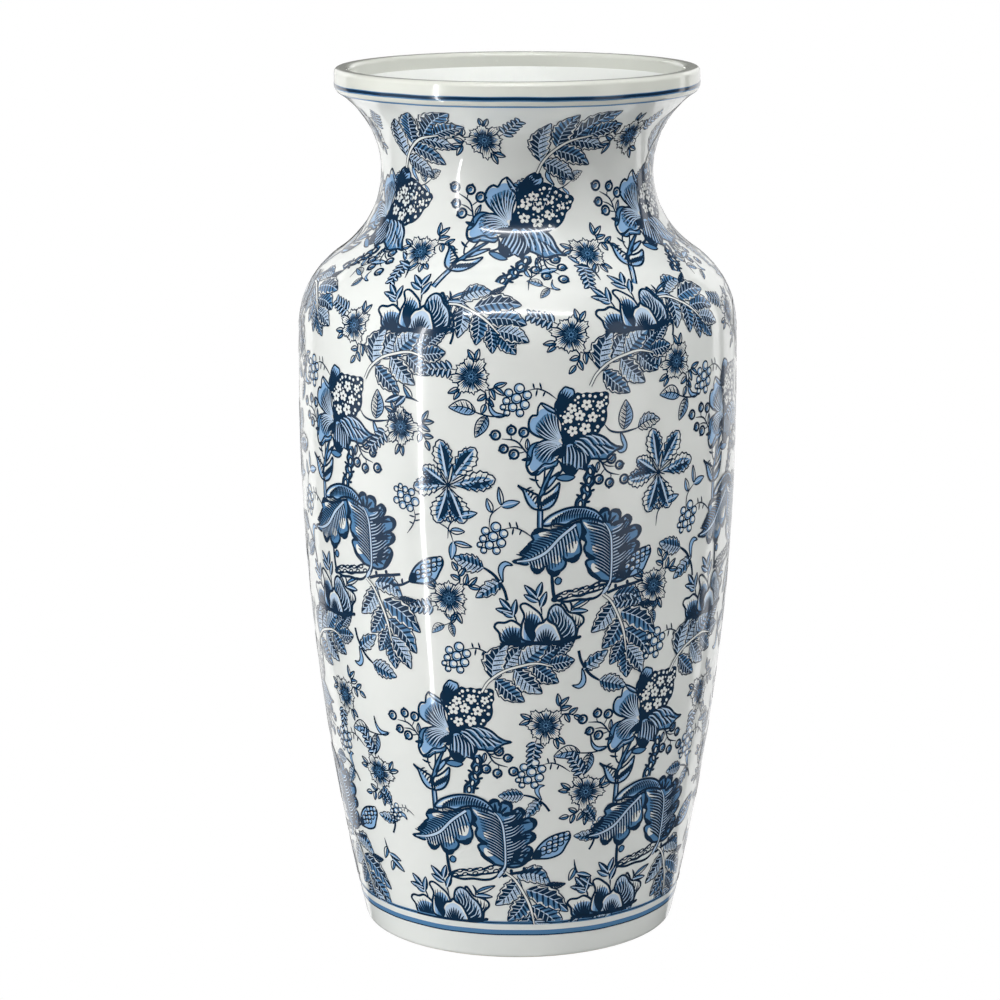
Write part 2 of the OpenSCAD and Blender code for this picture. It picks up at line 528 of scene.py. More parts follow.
def hydrangea_head(m):
    """The dark round head, full of small white flowers and dots, and the petal on its left."""
    m.blob("ink", [
        (-5.6, 11), (-5.7, 15), (-4, 17.4), (2, 19.2), (4, 20.2), (6, 19.5), (8, 20), (10, 19.5),
        (12, 19.9), (14, 19.6), (16.2, 19.9), (17.9, 18.9), (17.8, 16.6), (18, 14.8), (17, 12.8),
        (17.2, 10.4), (17, 8.2), (16, 5.8), (14.4, 4.2), (13.2, 2.4), (10, 2.3), (6, 1.6), (2, -1),
        (-2, -1.4), (-3.2, 2), (-3, 6), (-4, 9)])
    for x, y, size in [
            (1.7, 13.5, 2.2), (8, 14.7, 2.4), (13.8, 14.4, 1.9), (0, 9.5, 2.5), (5, 10.3, 2.4),
            (10.6, 9.3, 2.3), (1.9, 4, 2.3), (7.4, 4.7, 2.6)]:
        m.floret(x, y, size, 18 + 13 * x)
    for x, y, r in [
            (4.3, 18, 0.8), (6.6, 18.6, 0.7), (9.4, 18.4, 0.8), (11.7, 17.9, 0.7), (14.5, 18.6, 0.8),
            (16.6, 17.3, 0.7), (16.7, 14.6, 0.6), (15.4, 11.4, 0.8), (15.1, 8.2, 0.8), (12.8, 5.2, 0.8),
            (13.6, 9.8, 0.5), (12.9, 12, 0.5), (4.7, 13.4, 0.5), (8, 8, 0.45), (11.8, 3.6, 0.5),
            (4.3, 15.8, 0.5), (10.7, 12.7, 0.45), (4.6, 6.8, 0.4), (3, 16.9, 0.5), (15.6, 16.2, 0.5),
            (10.9, 16, 0.45), (-2.8, 13.6, 0.5), (-3.2, 10.6, 0.45), (-2.2, 7.2, 0.5), (-1.2, 5, 0.45),
            (-1, 16.6, 0.55), (1, 18, 0.5), (-1.4, 12.2, 0.4)]:
        m.dot(x, y, r, "white")
    m.level = 1
    m.shape("wash", [
        (-5.2, 12.4), (-5.5, 15.6), (-4.4, 17.4), (-3.9, 19.6), (-2.6, 21.4), (-1.2, 22.6), (0.6, 22),
        (2.2, 21.4), (2.6, 19.2), (0.4, 16.6), (-2.4, 14.6)], 0.6)
    m.fan((-3.6, 10), [
        (-4.8, 17.6), (-4, 19), (-3.1, 20.4), (-2.1, 21.2), (-1, 21.4), (0.1, 20.9), (1.2, 20.2),
        (2, 19.2)], 0.8, 0.15)
    m.level = 0


def hydrangea_upper_petal(m):
    """The upper fanned petal, with its rolled edge."""
    m.blob("wash", [
        (-5, 0.6), (-5, 8), (-6.4, 11.6), (-9.6, 13.8), (-12, 13), (-13, 10.6), (-15.2, 9.6), (-16, 6.6),
        (-15.2, 4), (-12, 2), (-8, 1)])
    m.blob("mid", [
        (-4, 0.8), (-4.4, 8), (-6.4, 11), (-9.4, 11.4), (-11.8, 9.2), (-13.6, 6.4), (-12.6, 3.4),
        (-8, 1.2)])
    m.fan((-2.4, -1), [
        (-4.4, 10.8), (-5.6, 11.6), (-7.2, 12.2), (-8.8, 12), (-9.9, 11), (-10.9, 10), (-11.9, 9),
        (-12.9, 8.1), (-13.5, 6.8), (-13.7, 5.4), (-13.3, 4.1), (-12.2, 2.9)], 0.9, 0.2, 0.06)
    m.fan((-2.4, -1), [
        (-5.2, 11.2), (-6.6, 11.6), (-8.2, 11.4), (-9.4, 10.6), (-10.6, 9.6), (-12.2, 8.2), (-13, 6),
        (-13, 4)], 0.34, 0.16, 0.05, "vein")
    m.shape("mid", [(-11.3, 16.2), (-8.4, 15), (-5, 12.8), (-4, 11), (-6.4, 12), (-9, 13.4)], 0.6)
    m.line([(-10.6, 15.4), (-8, 14), (-5.6, 12.4)], 0.3, "vein")
    m.line([
        (-11.3, 16.2), (-12.5, 14.4), (-12.8, 12), (-13.2, 11), (-14.8, 11), (-16.1, 9.4), (-16.5, 7),
        (-16, 4.8), (-14.4, 3.2), (-12, 2), (-8, 1), (-4, 0.4)], 0.8, start=0.7, end=1)


def hydrangea_lower_petal(m):
    """The lower fanned petal, with its rolled edges."""
    m.blob("wash", [
        (-3, -1), (-9, 0.4), (-13, -0.4), (-15.4, -3), (-15.6, -7), (-16, -11), (-14, -12.4), (-11, -9.8),
        (-7, -9), (-5, -6)])
    m.blob("mid", [
        (-3, -1), (-8, 0), (-12.6, -1), (-14, -4), (-13.4, -7), (-11, -8.8), (-7.6, -8.6), (-4.6, -5)])
    m.fan((-1.6, -0.8), [
        (-12.6, -0.2), (-14, -1.4), (-14.4, -2.9), (-14.4, -4.5), (-14.1, -6), (-13.4, -7.4),
        (-12.2, -8.4), (-10.8, -9), (-9, -8.8), (-7.2, -8.4)], 0.9, 0.25, -0.1)
    m.fan((-1.6, -0.8), [
        (-13, -1.2), (-13.4, -2.2), (-13.6, -3.8), (-13.4, -5.4), (-12.6, -7), (-11, -8.2), (-9.4, -8.6)],
        0.34, 0.14, -0.1, "vein")
    m.shape("mid", [
        (-12, -0.2), (-15.2, -1.2), (-16.9, -4), (-17.2, -7), (-17.6, -10.2), (-16.4, -9.6), (-15.3, -7),
        (-14.9, -4), (-14, -2)], 0.6)
    m.line([(-17.5, -10), (-16.6, -12.4), (-15.4, -13.5), (-13.4, -13.3)], 0.9, start=0.9, end=0.9)
    m.shape("mid", [
        (-15.8, -13.8), (-13.4, -12.4), (-11.6, -10.6), (-10, -9.3), (-7.4, -9.4), (-4.4, -8),
        (-4.8, -10.2), (-7.6, -11.2), (-10.4, -12.2), (-12.6, -14)], 0.6)
    m.line([(-12.4, -12.4), (-10, -10.6), (-6, -9.8)], 0.3, "vein")


def hydrangea_wing(m):
    """The striped petal that reaches out to the right."""
    m.shape("mid", [
        (2, -0.4), (5, 1.3), (8, 2.2), (11, 2.3), (14, 1.3), (16.6, -0.4), (19, -2.2), (21.6, -3.7),
        (24.4, -4.4), (21, -5.4), (19, -6.8), (17, -8.5), (14.6, -8.6), (11.8, -8.2), (9.4, -8),
        (6.6, -6), (4, -3.4)], 0.75)
    for start, middle, end in [
            ((3, -0.2), (5.6, -1), (8.2, -3.6)), ((5, 0.8), (8, 0.2), (11, -3)),
            ((7.6, 1.7), (10.4, 1), (13.4, -2.2)), ((10.2, 1.9), (13, 0.6), (16, -2.6)),
            ((12.6, 1.3), (15.6, -0.4), (19, -3.4)), ((3.4, -1.6), (6.2, -3.6), (8.8, -6.8)),
            ((6.6, -1.8), (9, -4.2), (11.4, -7.6)), ((9.6, -2.2), (12, -4), (14.4, -7.2)),
            ((12.4, -2.6), (14.8, -4.4), (17.4, -7)), ((15, -3), (17.4, -4.6), (20, -5.4))]:
        m.line(moved((start, middle, end), 0.4, 0.7), 0.95, "ink", 0.8, 0.5)
        m.line([start, middle, end], 0.5, "vein")
    m.line([(12.6, -8.4), (15.2, -10.2), (18, -9.2), (20.6, -6.6)], 0.6)


def hydrangea_skirt(m):
    """The striped petal that hangs below, and the small ones under it."""
    m.shape("wash", [
        (-1.6, -2.4), (-2.2, -5.6), (-2.4, -9), (-2.2, -12), (0, -14.2), (2.6, -14.4), (4.6, -12),
        (6.4, -12.4), (8.4, -10.6), (9.6, -8), (8, -5.2), (4.4, -2.6), (1, -1)], 0.6)
    m.blob("ink", [(-2.2, -9.6), (-2, -12.4), (0, -14.2), (2.6, -14.4), (3.8, -12.6), (2, -10.4), (0, -9.6)])
    m.blob("ink", [(5, -5), (8, -5.8), (9.4, -8.2), (8.2, -10.4), (6.4, -12), (5.2, -9)])
    for start, middle, end in [
            ((-1, -2.6), (-1.2, -6), (-1.2, -10)), ((0.2, -2.6), (0.6, -6), (0.4, -10)),
            ((1.2, -2), (2.2, -6), (2, -11)), ((2.2, -2), (3.8, -6), (3.6, -12)),
            ((3.2, -2.4), (5.2, -6), (5.4, -11.6)), ((4.4, -3), (6.6, -6), (7.2, -9.6))]:
        m.line([start, middle, end], 0.75, "detail", 0.8, 0.6)
        m.line(moved((start, middle, end), 0.7, -0.3), 0.4, "vein")
    m.line([(-5.4, -7), (-3.4, -9), (-2.4, -12), (-4.6, -14.4), (-7, -14.6)], 0.8)
    m.shape("mid", [(-5, -15.4), (-2.4, -14.2), (1, -14.5), (3, -15.4), (0.6, -16.9), (-2.8, -16.7)], 0.55)


def hydrangea_heart(m):
    """The dotted eye that the fanned petals spread from."""
    m.fan((-1, -1), [(-7.4, -4.6), (-6.6, -6.6), (-5, -8), (-3.4, -7.6)], 1.2, 0.1, 0.1)
    eye_x, eye_y = -4, -3.2
    m.fill("wash", ellipse(eye_x, eye_y, 2.3, 1.9, 30))
    radians_apart = 2.4
    for i in range(16):
        a, r = radians_apart * i, 0.48 * math.sqrt(i)
        m.dot(eye_x + r * math.cos(a), eye_y + r * math.sin(a), 0.26, "detail")
    m.dot(1.2, -0.4, 0.9)


def hydrangea(m):
    """A round head of small flowers beside two broad fanned petals and a striped wing."""
    hydrangea_head(m)
    hydrangea_upper_petal(m)
    hydrangea_lower_petal(m)
    hydrangea_wing(m)
    hydrangea_skirt(m)
    hydrangea_heart(m)


def berries(m):
    """Round berries on a forked twig."""
    m.line([(8, -7.2), (6.4, -5.4), (4.6, -3), (2.4, -0.4), (0, 0.8), (-4.4, 1.2)], 0.6)
    m.line([(2.8, -0.8), (4, 1.4), (4.4, 2.4)], 0.4)
    m.line([(0, 0.8), (-0.6, 2), (-0.4, 3)], 0.4)
    m.line([(4.6, -3), (1.6, -2), (-1.6, -2.2)], 0.45)
    m.line([(5.4, -4), (3.6, -4.6), (2, -4.6)], 0.4)
    for x, y, r, out in [
            (-7, 2.8, 1.9, 180), (-0.4, 4.9, 1.8, 95), (4.7, 4, 1.9, 20), (-3.6, -2.9, 1.7, 200),
            (0.6, -5.2, 1.9, 230)]:
        m.berry(x, y, r, out)
    m.leaf((6.2, -3.4), (6.2, 1.4), 1.8, (None, "wash"))
    m.leaf((8, -7.2), (3.8, -7.6), 1.2, (None, "mid"))


def tulip(m):
    """A tulip bud on a stout stem, with long leaves rising from it."""
    m.fill("mid", [(-1, -4.6), (-0.9, -15.5), (1, -15.5), (1, -4.6)])
    for x in (-1, 1):
        m.line([(x, -4.6), (x, -10), (x, -15.5)], 0.6, start=0.9, end=0.9)
    m.line([(0.2, -5), (0.2, -10), (0.2, -15)], 0.35, "vein")
    m.shape("mid", [(-0.6, 0.6), (0.4, 4), (2, 8), (4.6, 12.4), (6, 13.6), (4, 9), (2.6, 4.6), (1, 1)], 0.6)
    m.shape("wash", [(1.6, 3.4), (4, 5), (6.4, 8), (8.2, 11), (5.8, 9.6), (3.2, 7)], 0.6)
    m.shape("ground", [(0.2, 4.4), (-1.6, 7), (-1.8, 10), (0, 12.4), (1.8, 13.4), (1.8, 10), (1.4, 7)], 0.6)
    m.line([(-4.6, 8.6), (-2.6, 7.8), (-0.6, 7.6)], 0.8)
    m.level = 1
    m.shape("ground", [
        (-9.4, 5.7), (-7.6, 4.6), (-5.4, 3.6), (-2.6, 2.2), (-0.6, 0.8), (0.4, -4.4), (-2.6, -4.4),
        (-4.8, -2.4), (-6.2, 0.6), (-7.2, 3.4)], 0.75)
    m.shape("ground", [
        (8, 6.4), (5.4, 4), (2.6, 2), (0.4, 0.8), (-0.6, -4.6), (2.6, -4.6), (5.2, -3), (7, 0),
        (7.8, 3.4)], 0.75)
    m.blob("wash", [
        (-8.8, 5.2), (-5.6, 3), (-3.4, 0), (-1.4, -3), (-0.6, -4), (-3.6, -3.4), (-6, -0.4), (-7.4, 2.8)])
    m.blob("wash", [
        (7.4, 5.4), (5.6, 2.4), (4, -0.6), (1.8, -3.2), (0.6, -4.2), (4, -3.8), (6.6, -0.6), (7.4, 2.6)])
    for i in range(7):
        x, y = 0.4 + 0.9 * i, -3.9 + 0.55 * i
        m.line([(x, y), (x + 0.7, y + 2), (x + 1.5, y + 3.8)], 0.6, start=0.9)
    for i in range(6):
        x, y = -1.2 - 0.95 * i, -3.6 + 1.25 * i
        m.line([(x, y), (x + 0.9, y + 1.6), (x + 2.4, y + 2.2)], 0.6, start=0.9)
    m.line([(-0.4, -4), (-1.2, -1), (-0.8, 1.4)], 0.8)


def twist(m):
    """A knobbly branch of two strands with open loops between them."""
    left = [(0, 0), (0.4, -2.6), (-0.8, -5), (0, -7.4), (-2, -9.6), (-1.6, -12), (-4, -14.6), (-4.6, -18)]
    right = [(2.4, 0.4), (3.8, -2), (3, -4.6), (3.6, -7), (1.6, -9.4), (2, -12), (0, -14.8), (-0.6, -18)]
    m.fill("mid", through(left) + through(right)[::-1])
    m.line(left, 1.1, start=0.8, end=0.8)
    m.line(right, 1.1, start=0.8, end=0.8)
    for x, y, r, turn in [
            (1.8, -2.4, 1.5, 100), (1.3, -6.2, 1.5, 80), (0.6, -9.8, 1.4, 110), (-0.8, -13, 1.5, 75),
            (-2.4, -16.2, 1.5, 85)]:
        loop = ellipse(x, y, r, 0.6 * r, turn)
        m.fill("white", loop)
        m.ring("detail", loop, 0.6)
    for x, y, turn in [
            (-0.4, -1.6, 150), (3.8, -5, 30), (-1.8, -7.4, 160), (3, -10.6, 20), (-3.4, -12.4, 150),
            (1, -15.4, 10)]:
        m.fill("ink", ellipse(x, y, 1.1, 0.6, turn, 8))


def cluster(m):
    """A drooping cluster of round fruit on a twig with short spurs."""
    for x, y, r in [
            (0.4, 4.8, 2.1), (-4, 3, 1.7), (3.6, 2, 1.8), (-0.8, 0.6, 2.1), (-5, -0.4, 1.5),
            (2.6, -2, 1.9), (-2.4, -3, 1.8), (-6.4, -3, 1.2), (0.6, -5.4, 1.6), (-4.8, -5.4, 1.3)]:
        fruit = ellipse(x, y, r, r)
        m.fill("wash", fruit)
        m.ring("ink", fruit, 0.48)
        m.fill("white", ellipse(x + 0.2 * r, y + 0.1 * r, 0.62 * r, 0.58 * r))
        m.stroke("detail", ellipse(x, y, 0.58 * r, 0.58 * r)[5:10], 0.3)
    m.line([(4, 4), (8, 4.6), (12, 3), (16, 0)], 0.5)
    for x, y, dx, dy in [
            (6.6, 4.6, -0.6, 2.4), (9.6, 4.2, -0.8, 3), (7.8, 4.4, -0.6, -3), (11, 3.4, -0.8, -2)]:
        m.line([(x, y), (x + dx / 2, y + dy / 2), (x + dx, y + dy)], 0.6)


def long_vine(m):
    """A thin stem with one upright leaf, one broad leaf and a curled tendril."""
    m.line([(0, 0), (3, -3), (8, -4), (14, -3.2), (17, -2.4)], 0.7)
    m.leaf((9, -2.8), (10, 9.6), 6.6, (None, "wash"), bend=-0.6, hatch=6)
    m.leaf((16, -2.6), (27.4, -0.4), 7, ("wash", None), lobes=5, bend=1.4, hatch=5)
    m.shape("wash", [
        (7.6, -4), (9.4, -6.4), (10.6, -9.6), (9.8, -12), (7.4, -12.6), (6, -11.4), (8, -11), (8.8, -9.6),
        (7.8, -7)])


def hook_vine(m):
    """A thick stem that ends in a scalloped leaf, with a side leaf and a curl."""
    m.line([(0, 0), (-1.4, 5), (-5, 10.6), (-9.6, 14), (-12, 14.8)], 1.0, start=1, end=0.4)
    m.leaf((-10, 14), (-22.8, 18.2), 8, ("wash", "mid"), lobes=6, hatch=6)
    m.leaf((-2.4, 8.6), (-13.3, 1), 6.6, ("mid", "wash"), lobes=4, hatch=5)
    m.shape("wash", [
        (-1.8, 8), (-3.6, 12.6), (-3, 15.6), (-0.6, 17), (2.4, 15.4), (-0.2, 15.2), (-1.6, 13)])


def cross_vine(m):
    """A light stem with two small leaves and a crescent leaf."""
    m.line([(14, 1.2), (8, -0.8), (1, -0.6), (-3, 1)], 0.5)
    m.leaf((1, -0.4), (-10.6, -1.4), 6, ("wash", None), bend=-1.2, hatch=4)
    m.leaf((6, -1), (3, -11), 5, ("wash", None), hatch=5)
    m.shape("wash", [(5.4, 7.2), (6.4, 4), (9, 1.4), (13.4, 1), (11, -0.6), (8, 0), (6, 2.6)])


def sprig(m):
    """Three small leaves on a thin stem."""
    m.line([(0, 0), (1, 6), (5.5, 10)], 0.45)
    m.leaf((5.4, 10), (4.2, 18), 2.4, ("wash", None))
    m.leaf((5.2, 9.8), (13, 11.6), 3.2, ("wash", "mid"))
    m.leaf((1.2, 7), (-0.8, 13), 2.8, ("wash", None))


def twig_leaves(m):
    """Four pointed leaves on a short forked stem."""
    m.line([(0, 0), (-0.8, 4), (-2.6, 8), (-4.4, 11)], 0.7)
    m.leaf((-3.4, 9.4), (-9.6, 14.2), 2.6, ("mid", "ink"))
    m.leaf((-3.8, 10), (-1.8, 15.2), 2.6, ("mid", None))
    m.leaf((-1.8, 7), (-8.6, 9.2), 2.4, ("mid", "ink"))
    m.leaf((-0.8, 4), (1.8, 10.2), 2.8, ("mid", None))


def starflower_petal(m, angle, reach):
    """A ragged petal at that angle, with a wash at its foot and five lines."""
    edge = rotated([(0.8, 0.2), (3.4, 1.9), (5, 2.5), (6, 2.9), (6.2, 2), (reach - 0.6, 1.6),
                    (reach - 0.8, 0.8), (reach + 0.6, 0.2), (reach - 0.7, -0.7), (reach - 0.4, -1.6),
                    (6.1, -1.8), (5.7, -2.7), (3.2, -1.9), (0.8, -0.2)], angle)
    m.fill("ground", edge)
    m.stroke("ink", edge, 0.5, 1, 1)
    m.fill("wash", rotated([
        (0.8, 0), (4.4, 1.7), (4.8, 0.6), (5.9, 0.2), (4.7, -0.7), (4.3, -1.6)], angle))
    for v in (-1.5, -0.75, 0, 0.75, 1.5):
        start, end = (1.6, 0.5 * v), (reach - 1.1 - 0.5 * abs(v), 1.15 * v)
        middle = ((start[0] + end[0]) / 2, (start[1] + end[1]) / 2)
        m.stroke("ink", rotated((start, middle, end), angle), 0.4, 1, 0.1)


def starflower(m):
    """A ragged open flower with a blue star at its heart, a fern tail and a few leaves."""
    for number, angle in enumerate(range(8, 368, 45)):
        m.level = number % 2
        starflower_petal(m, angle, 7.2 + 0.8 * ((number * 5) % 3))
    m.level = 2
    corners, rays = 28, 21
    star = []
    for i in range(corners):
        a, r = math.tau * i / corners, (4.2 if i % 4 == 0 else 3.2) if i % 2 == 0 else 1.8
        star.append((r * math.cos(a), r * math.sin(a)))
    m.fill("mid", star)
    for i in range(rays):
        a = math.tau * i / rays
        reach = 4.6 if i % 3 == 0 else 3.4
        tip = (reach * math.cos(a), reach * math.sin(a))
        m.stroke("ink", [(share * tip[0], share * tip[1]) for share in (0.3, 0.6, 1)], 0.3, 1, 0.2)
    m.dot(0, 0, 0.7)
    m.level = 0
    m.line([(-6, 2.4), (-10, 3), (-14, 1.6), (-19, 1.8)], 0.6)
    for i in range(5):
        x = -8.4 - 2.3 * i
        y = 2.8 - 0.12 * i
        m.leaf((x, y), (x - 2.4, y + 3.6 - 0.3 * i), 1.9, ("ink", "mid"))
        m.leaf((x - 0.8, y), (x - 1.8, y - 4 + 0.3 * i), 1.9, ("ink", "mid"))
    m.line([(5, -4.4), (8, -5.2), (10.4, -4)], 0.65)
    m.line([(5, -4.4), (6.4, -8), (6, -12)], 0.6)
    for base, tip in [
            ((9.4, -4.2), (14, -7.6)), ((9.4, -4.2), (15, -2.4)), ((8, -5), (10, -9.6)),
            ((6.2, -7.6), (2.6, -10)), ((6.3, -9), (9.6, -12.4)), ((6, -11.4), (4.4, -15.6)),
            ((-4.6, -5.6), (-7.4, -10)), ((-5, -5), (-10, -7.4)), ((2, 6.8), (3.4, 11.6)),
            ((1.4, 6.8), (-1.4, 11.2))]:
        m.leaf(base, tip, 2.2, ("mid", None))


def star_leaflet(m, angle, reach, width, dark_side):
    """A toothed leaflet at that angle. Its dark side, 1 or -1, is toned almost to the edge."""
    teeth = [(0.12, 0.05), (0.3, 0.2), (0.43, 0.37), (0.47, 0.3), (0.58, 0.48), (0.63, 0.39),
             (0.72, 0.5), (0.77, 0.39), (0.85, 0.38), (0.88, 0.26), (0.95, 0.2), (1, 0)]
    foot = (0.12, 0)

    def laid(shape):
        """Points of the motif, from shares of the leaflet's length and width."""
        return rotated([(reach * along, width * across) for along, across in shape], angle)

    for side in (1, -1):
        edge = [(along, side * half) for along, half in teeth]
        m.fill("ground", laid(edge + [foot]))
        m.stroke("ink", laid(edge), 0.55, 0.8, 0.9)
        if side == dark_side:
            m.fill("mid", laid([(along * 0.97, half * 0.84) for along, half in edge] + [foot]))
            m.fill("ink", laid([
                (0.14, 0), (0.4, side * 0.2), (0.6, side * 0.34), (0.78, side * 0.24), (0.92, 0)]))
            for along in (0.26, 0.36, 0.46, 0.56, 0.66, 0.76):
                vein = [(along, 0), (along + 0.08, side * 0.2), (along + 0.14, side * 0.38)]
                m.stroke("ink", laid(vein), 0.6, 0.9, 0.4)
        else:
            m.fill("mid", laid([(along * 0.92, half * 0.5) for along, half in edge] + [foot]))
            for along in (0.26, 0.38, 0.5, 0.62, 0.74):
                vein = [(along, 0), (along + 0.08, side * 0.14), (along + 0.13, side * 0.33)]
                m.stroke("ink", laid(vein), 0.5, 0.9, 0.3)
    m.stroke("vein", laid([(0.1, 0), (0.4, 0.01), (0.7, 0), (0.96, 0)]), 0.7, 0.9, 0.3)


def star_leaf(m):
    """A palmate leaf: broad toothed leaflets, one half solid and the other with a pale edge."""
    for number, (angle, reach, width, dark_side) in enumerate([
            (148, 13.4, 7, 1), (101, 19.4, 9, -1), (54, 20, 9.4, 1), (9, 20.4, 9, -1),
            (-68, 17.4, 9.4, -1), (-108, 17.4, 9.4, 1), (187, 16, 8.4, -1)]):
        m.level = number % 2
        star_leaflet(m, angle, reach, width, dark_side)
    m.level = 2
    for angle in range(20, 380, 40):
        m.line([(0, 0), on_circle((0, 0), 1.6, angle), on_circle((0, 0), 3.8, angle)], 0.5)


def cone(m):
    """A leaning cone of overlapping scales."""
    m.shape("wash", [
        (-8.6, -6), (-6.6, -1), (-2.6, 3), (2, 5), (6.4, 5.4), (7.4, 3), (5.6, -1), (3.4, -4.6),
        (-1, -6.4), (-5, -6.6)], 0.7)
    for i in range(5):
        for j in range(4):
            u, v = -4.2 + 2.5 * i, -2.8 + 1.9 * j + 0.7 * i - 0.9
            if (0.75 * u - 0.2 * v) ** 2 / 30 + (v - 0.75 * u + 0.6) ** 2 / 14 > 1:
                continue
            m.level = (i + j) % 2
            scale = ellipse(u, v, 1.4, 1.05, 35)
            m.fill("ground", scale)
            m.fill("wash", ellipse(u - 0.3, v - 0.3, 0.8, 0.6, 35, 8))
            m.ring("ink", scale, 0.5)
    m.level = 0
    m.blob("ink", [(-8.4, -6), (-7, -2.4), (-5.4, -2.6), (-4.8, -5.2), (-6, -6.4)])
    m.line([(-8, -6), (-13, -8.4), (-18, -9), (-23, -11.6)], 0.9, start=0.8, end=0.8)
    for x, y in [(-12, -8), (-17, -9)]:
        m.line([(x, y), (x - 0.3, y + 1.4), (x - 0.1, y + 2.6)], 0.8)


def peony_outer_petals(m):
    """The petals at the far right and the far left."""
    m.shape("ground", [
        (8.4, 0), (12.4, 0.6), (13.2, 3), (13.8, 5.2), (16, 7.6), (15.6, 10), (12.6, 11.6), (9.6, 12.4),
        (8, 15), (6.4, 16.6), (5.6, 12), (6.4, 6)], 0.8)
    m.fan((6, -2), [(14.2, 10.4), (15, 8.8), (14, 7), (12.6, 10.9), (11.2, 11.6), (12.6, 5)], 0.5, 0.5, -0.1)
    m.shape("ground", [
        (-17.6, -0.6), (-19.8, 3.8), (-21.8, 6.4), (-20.6, 8.2), (-17.4, 8.3), (-14.8, 9.3), (-12.3, 8.2),
        (-9.6, 5.6), (-6, -0.6)], 0.85)
    m.blob("wash", [(-17.6, -0.4), (-18.6, 3), (-17, 5.6), (-13.4, 6.2), (-10, 5), (-6.4, 0)])
    m.blob("mid", [(-17.4, -0.4), (-17.6, 2), (-15, 4), (-11.4, 3.8), (-8, 2.6), (-6.4, 0)])
    m.fan((-11, -3), [
        (-18.8, 2.2), (-19.2, 4), (-18.6, 5.6), (-17.2, 6.6), (-15.7, 7.1), (-14.2, 7), (-12.8, 6.4),
        (-11.4, 5.4), (-10, 4.2)], 0.7, 0.2, 0.08)


def peony_inner_petals(m):
    """The two tall petals, which stand in front of the outer ones."""
    m.level = 1
    m.shape("ground", [
        (-10, 1), (-10.4, 7), (-9.3, 11.4), (-11, 15.6), (-9, 16.8), (-5.4, 14.6), (-2.2, 11.2), (-1, 5),
        (-3, 0)], 0.8)
    m.blob("wash", [(-9, 0.6), (-9.4, 7), (-8, 11.4), (-5, 12), (-2.6, 9.6), (-2, 4), (-4, 0)])
    m.blob("mid", [(-8, 0), (-8, 5.6), (-6.6, 9.4), (-4, 9.2), (-2.6, 5), (-4, 0)])
    m.fan((-4.4, -3), [
        (-9.4, 9), (-9, 11), (-8.4, 13), (-7.2, 13.6), (-5.9, 13.2), (-4.7, 12.4), (-3.5, 11.2),
        (-2.6, 9.4)], 0.75, 0.25, 0.06)
    m.shape("pale", [
        (2, 0), (0.4, 6), (0.6, 11), (1.6, 14.4), (4, 16), (6.6, 14.8), (8.6, 11.8), (11.2, 9.2),
        (12.6, 5.4), (11.4, 1)], 0.8)
    m.blob("mid", [
        (2, 0), (0.8, 6), (1.2, 10.6), (3.4, 13), (6, 12), (8, 9), (10, 6.4), (10.6, 3), (10, 0)])
    m.fan((4, -3), [
        (1.2, 13), (2.2, 14.4), (3.6, 15), (5, 14.8), (6.2, 13.8), (7.4, 12.4), (8.5, 10.8), (9.7, 9.4),
        (10.8, 7.8), (11.6, 6), (11.9, 4), (11.6, 2)], 0.8, 0.25, -0.06)
    m.fan((4, -3), [
        (1.8, 12.4), (3.4, 13.4), (5.4, 13), (7.2, 10.8), (9, 8.6), (10.6, 5.8)], 0.3, 0.5, -0.08, "vein")


def peony_front_petal(m):
    """The low rounded petal in front, and the dark ledge that the flower sits on."""
    m.level = 2
    egg = [(-6, -0.4), (-4.8, 2.5), (-5.3, 5), (-3.7, 7.6), (-1.3, 8.5), (0, 9.9), (1.4, 8.6), (3.9, 7.1),
           (5.4, 4), (6.4, 1), (6.2, -0.6)]
    m.fill("ground", through(egg))
    m.blob("pale", [(-4.4, 0), (-4.2, 4.6), (-2, 7), (0.2, 7.6), (2.6, 6.4), (4.2, 3.6), (5, 0)])
    m.line(egg, 0.9, "detail", 0.9, 0.9)
    m.fan((0.2, -5), [
        (-4.2, 2), (-3.4, 3.4), (-2.4, 4.6), (-1.3, 5.4), (-0.1, 5.8), (1.1, 5.4), (2.2, 4.6), (3.3, 3.4),
        (4.4, 2)], 0.6, 0.45, 0.02, "detail")
    m.line([
        (-19.4, -1.2), (-15, -0.9), (-10, -1.2), (-5, -0.7), (0, -1), (6, -0.5), (10, -0.2), (14.6, 1.2)],
        1.4, start=0.7, end=0.6)
    m.level = 0
    m.fill("ink", ellipse(14.2, 1, 1.1, 0.8, 20))
    for x in (-16, -12.4, -8, -3.6, 1, 5.4):
        m.fill("ink", ellipse(x, -1.5, 1.3, 0.9, 15, 8))


def peony_leaves(m):
    """The small leaves that stand behind the petals, on their stalks."""
    for base, tip in [((-12, 7.6), (-15.6, 15)), ((-1.8, 11.6), (-4, 19.6))]:
        m.line([base, ((base[0] + tip[0]) / 2 + 0.4, (base[1] + tip[1]) / 2), tip], 0.6)
    for base, tip in [
            ((-13.8, 11), (-18.8, 13.4)), ((-14.6, 12.8), (-21.4, 14.4)), ((-15.2, 14), (-19.8, 19)),
            ((-14, 11.4), (-12.8, 18.6)), ((-3.6, 17.4), (-9.6, 20.6)), ((-4, 19), (-9.4, 24.8)),
            ((-4, 19.4), (-2, 26)), ((-2.6, 15), (0, 21.8))]:
        m.leaf(base, tip, 2.6, ("mid", "ink"))
    m.leaf((10.6, 12.6), (18, 12.4), 2.4, ("mid", "ink"))
    m.leaf((11, 14), (19.6, 18), 2.4, ("mid", None))
    m.line([(10.4, 12.4), (10.8, 15), (9.6, 17.6)], 0.8)


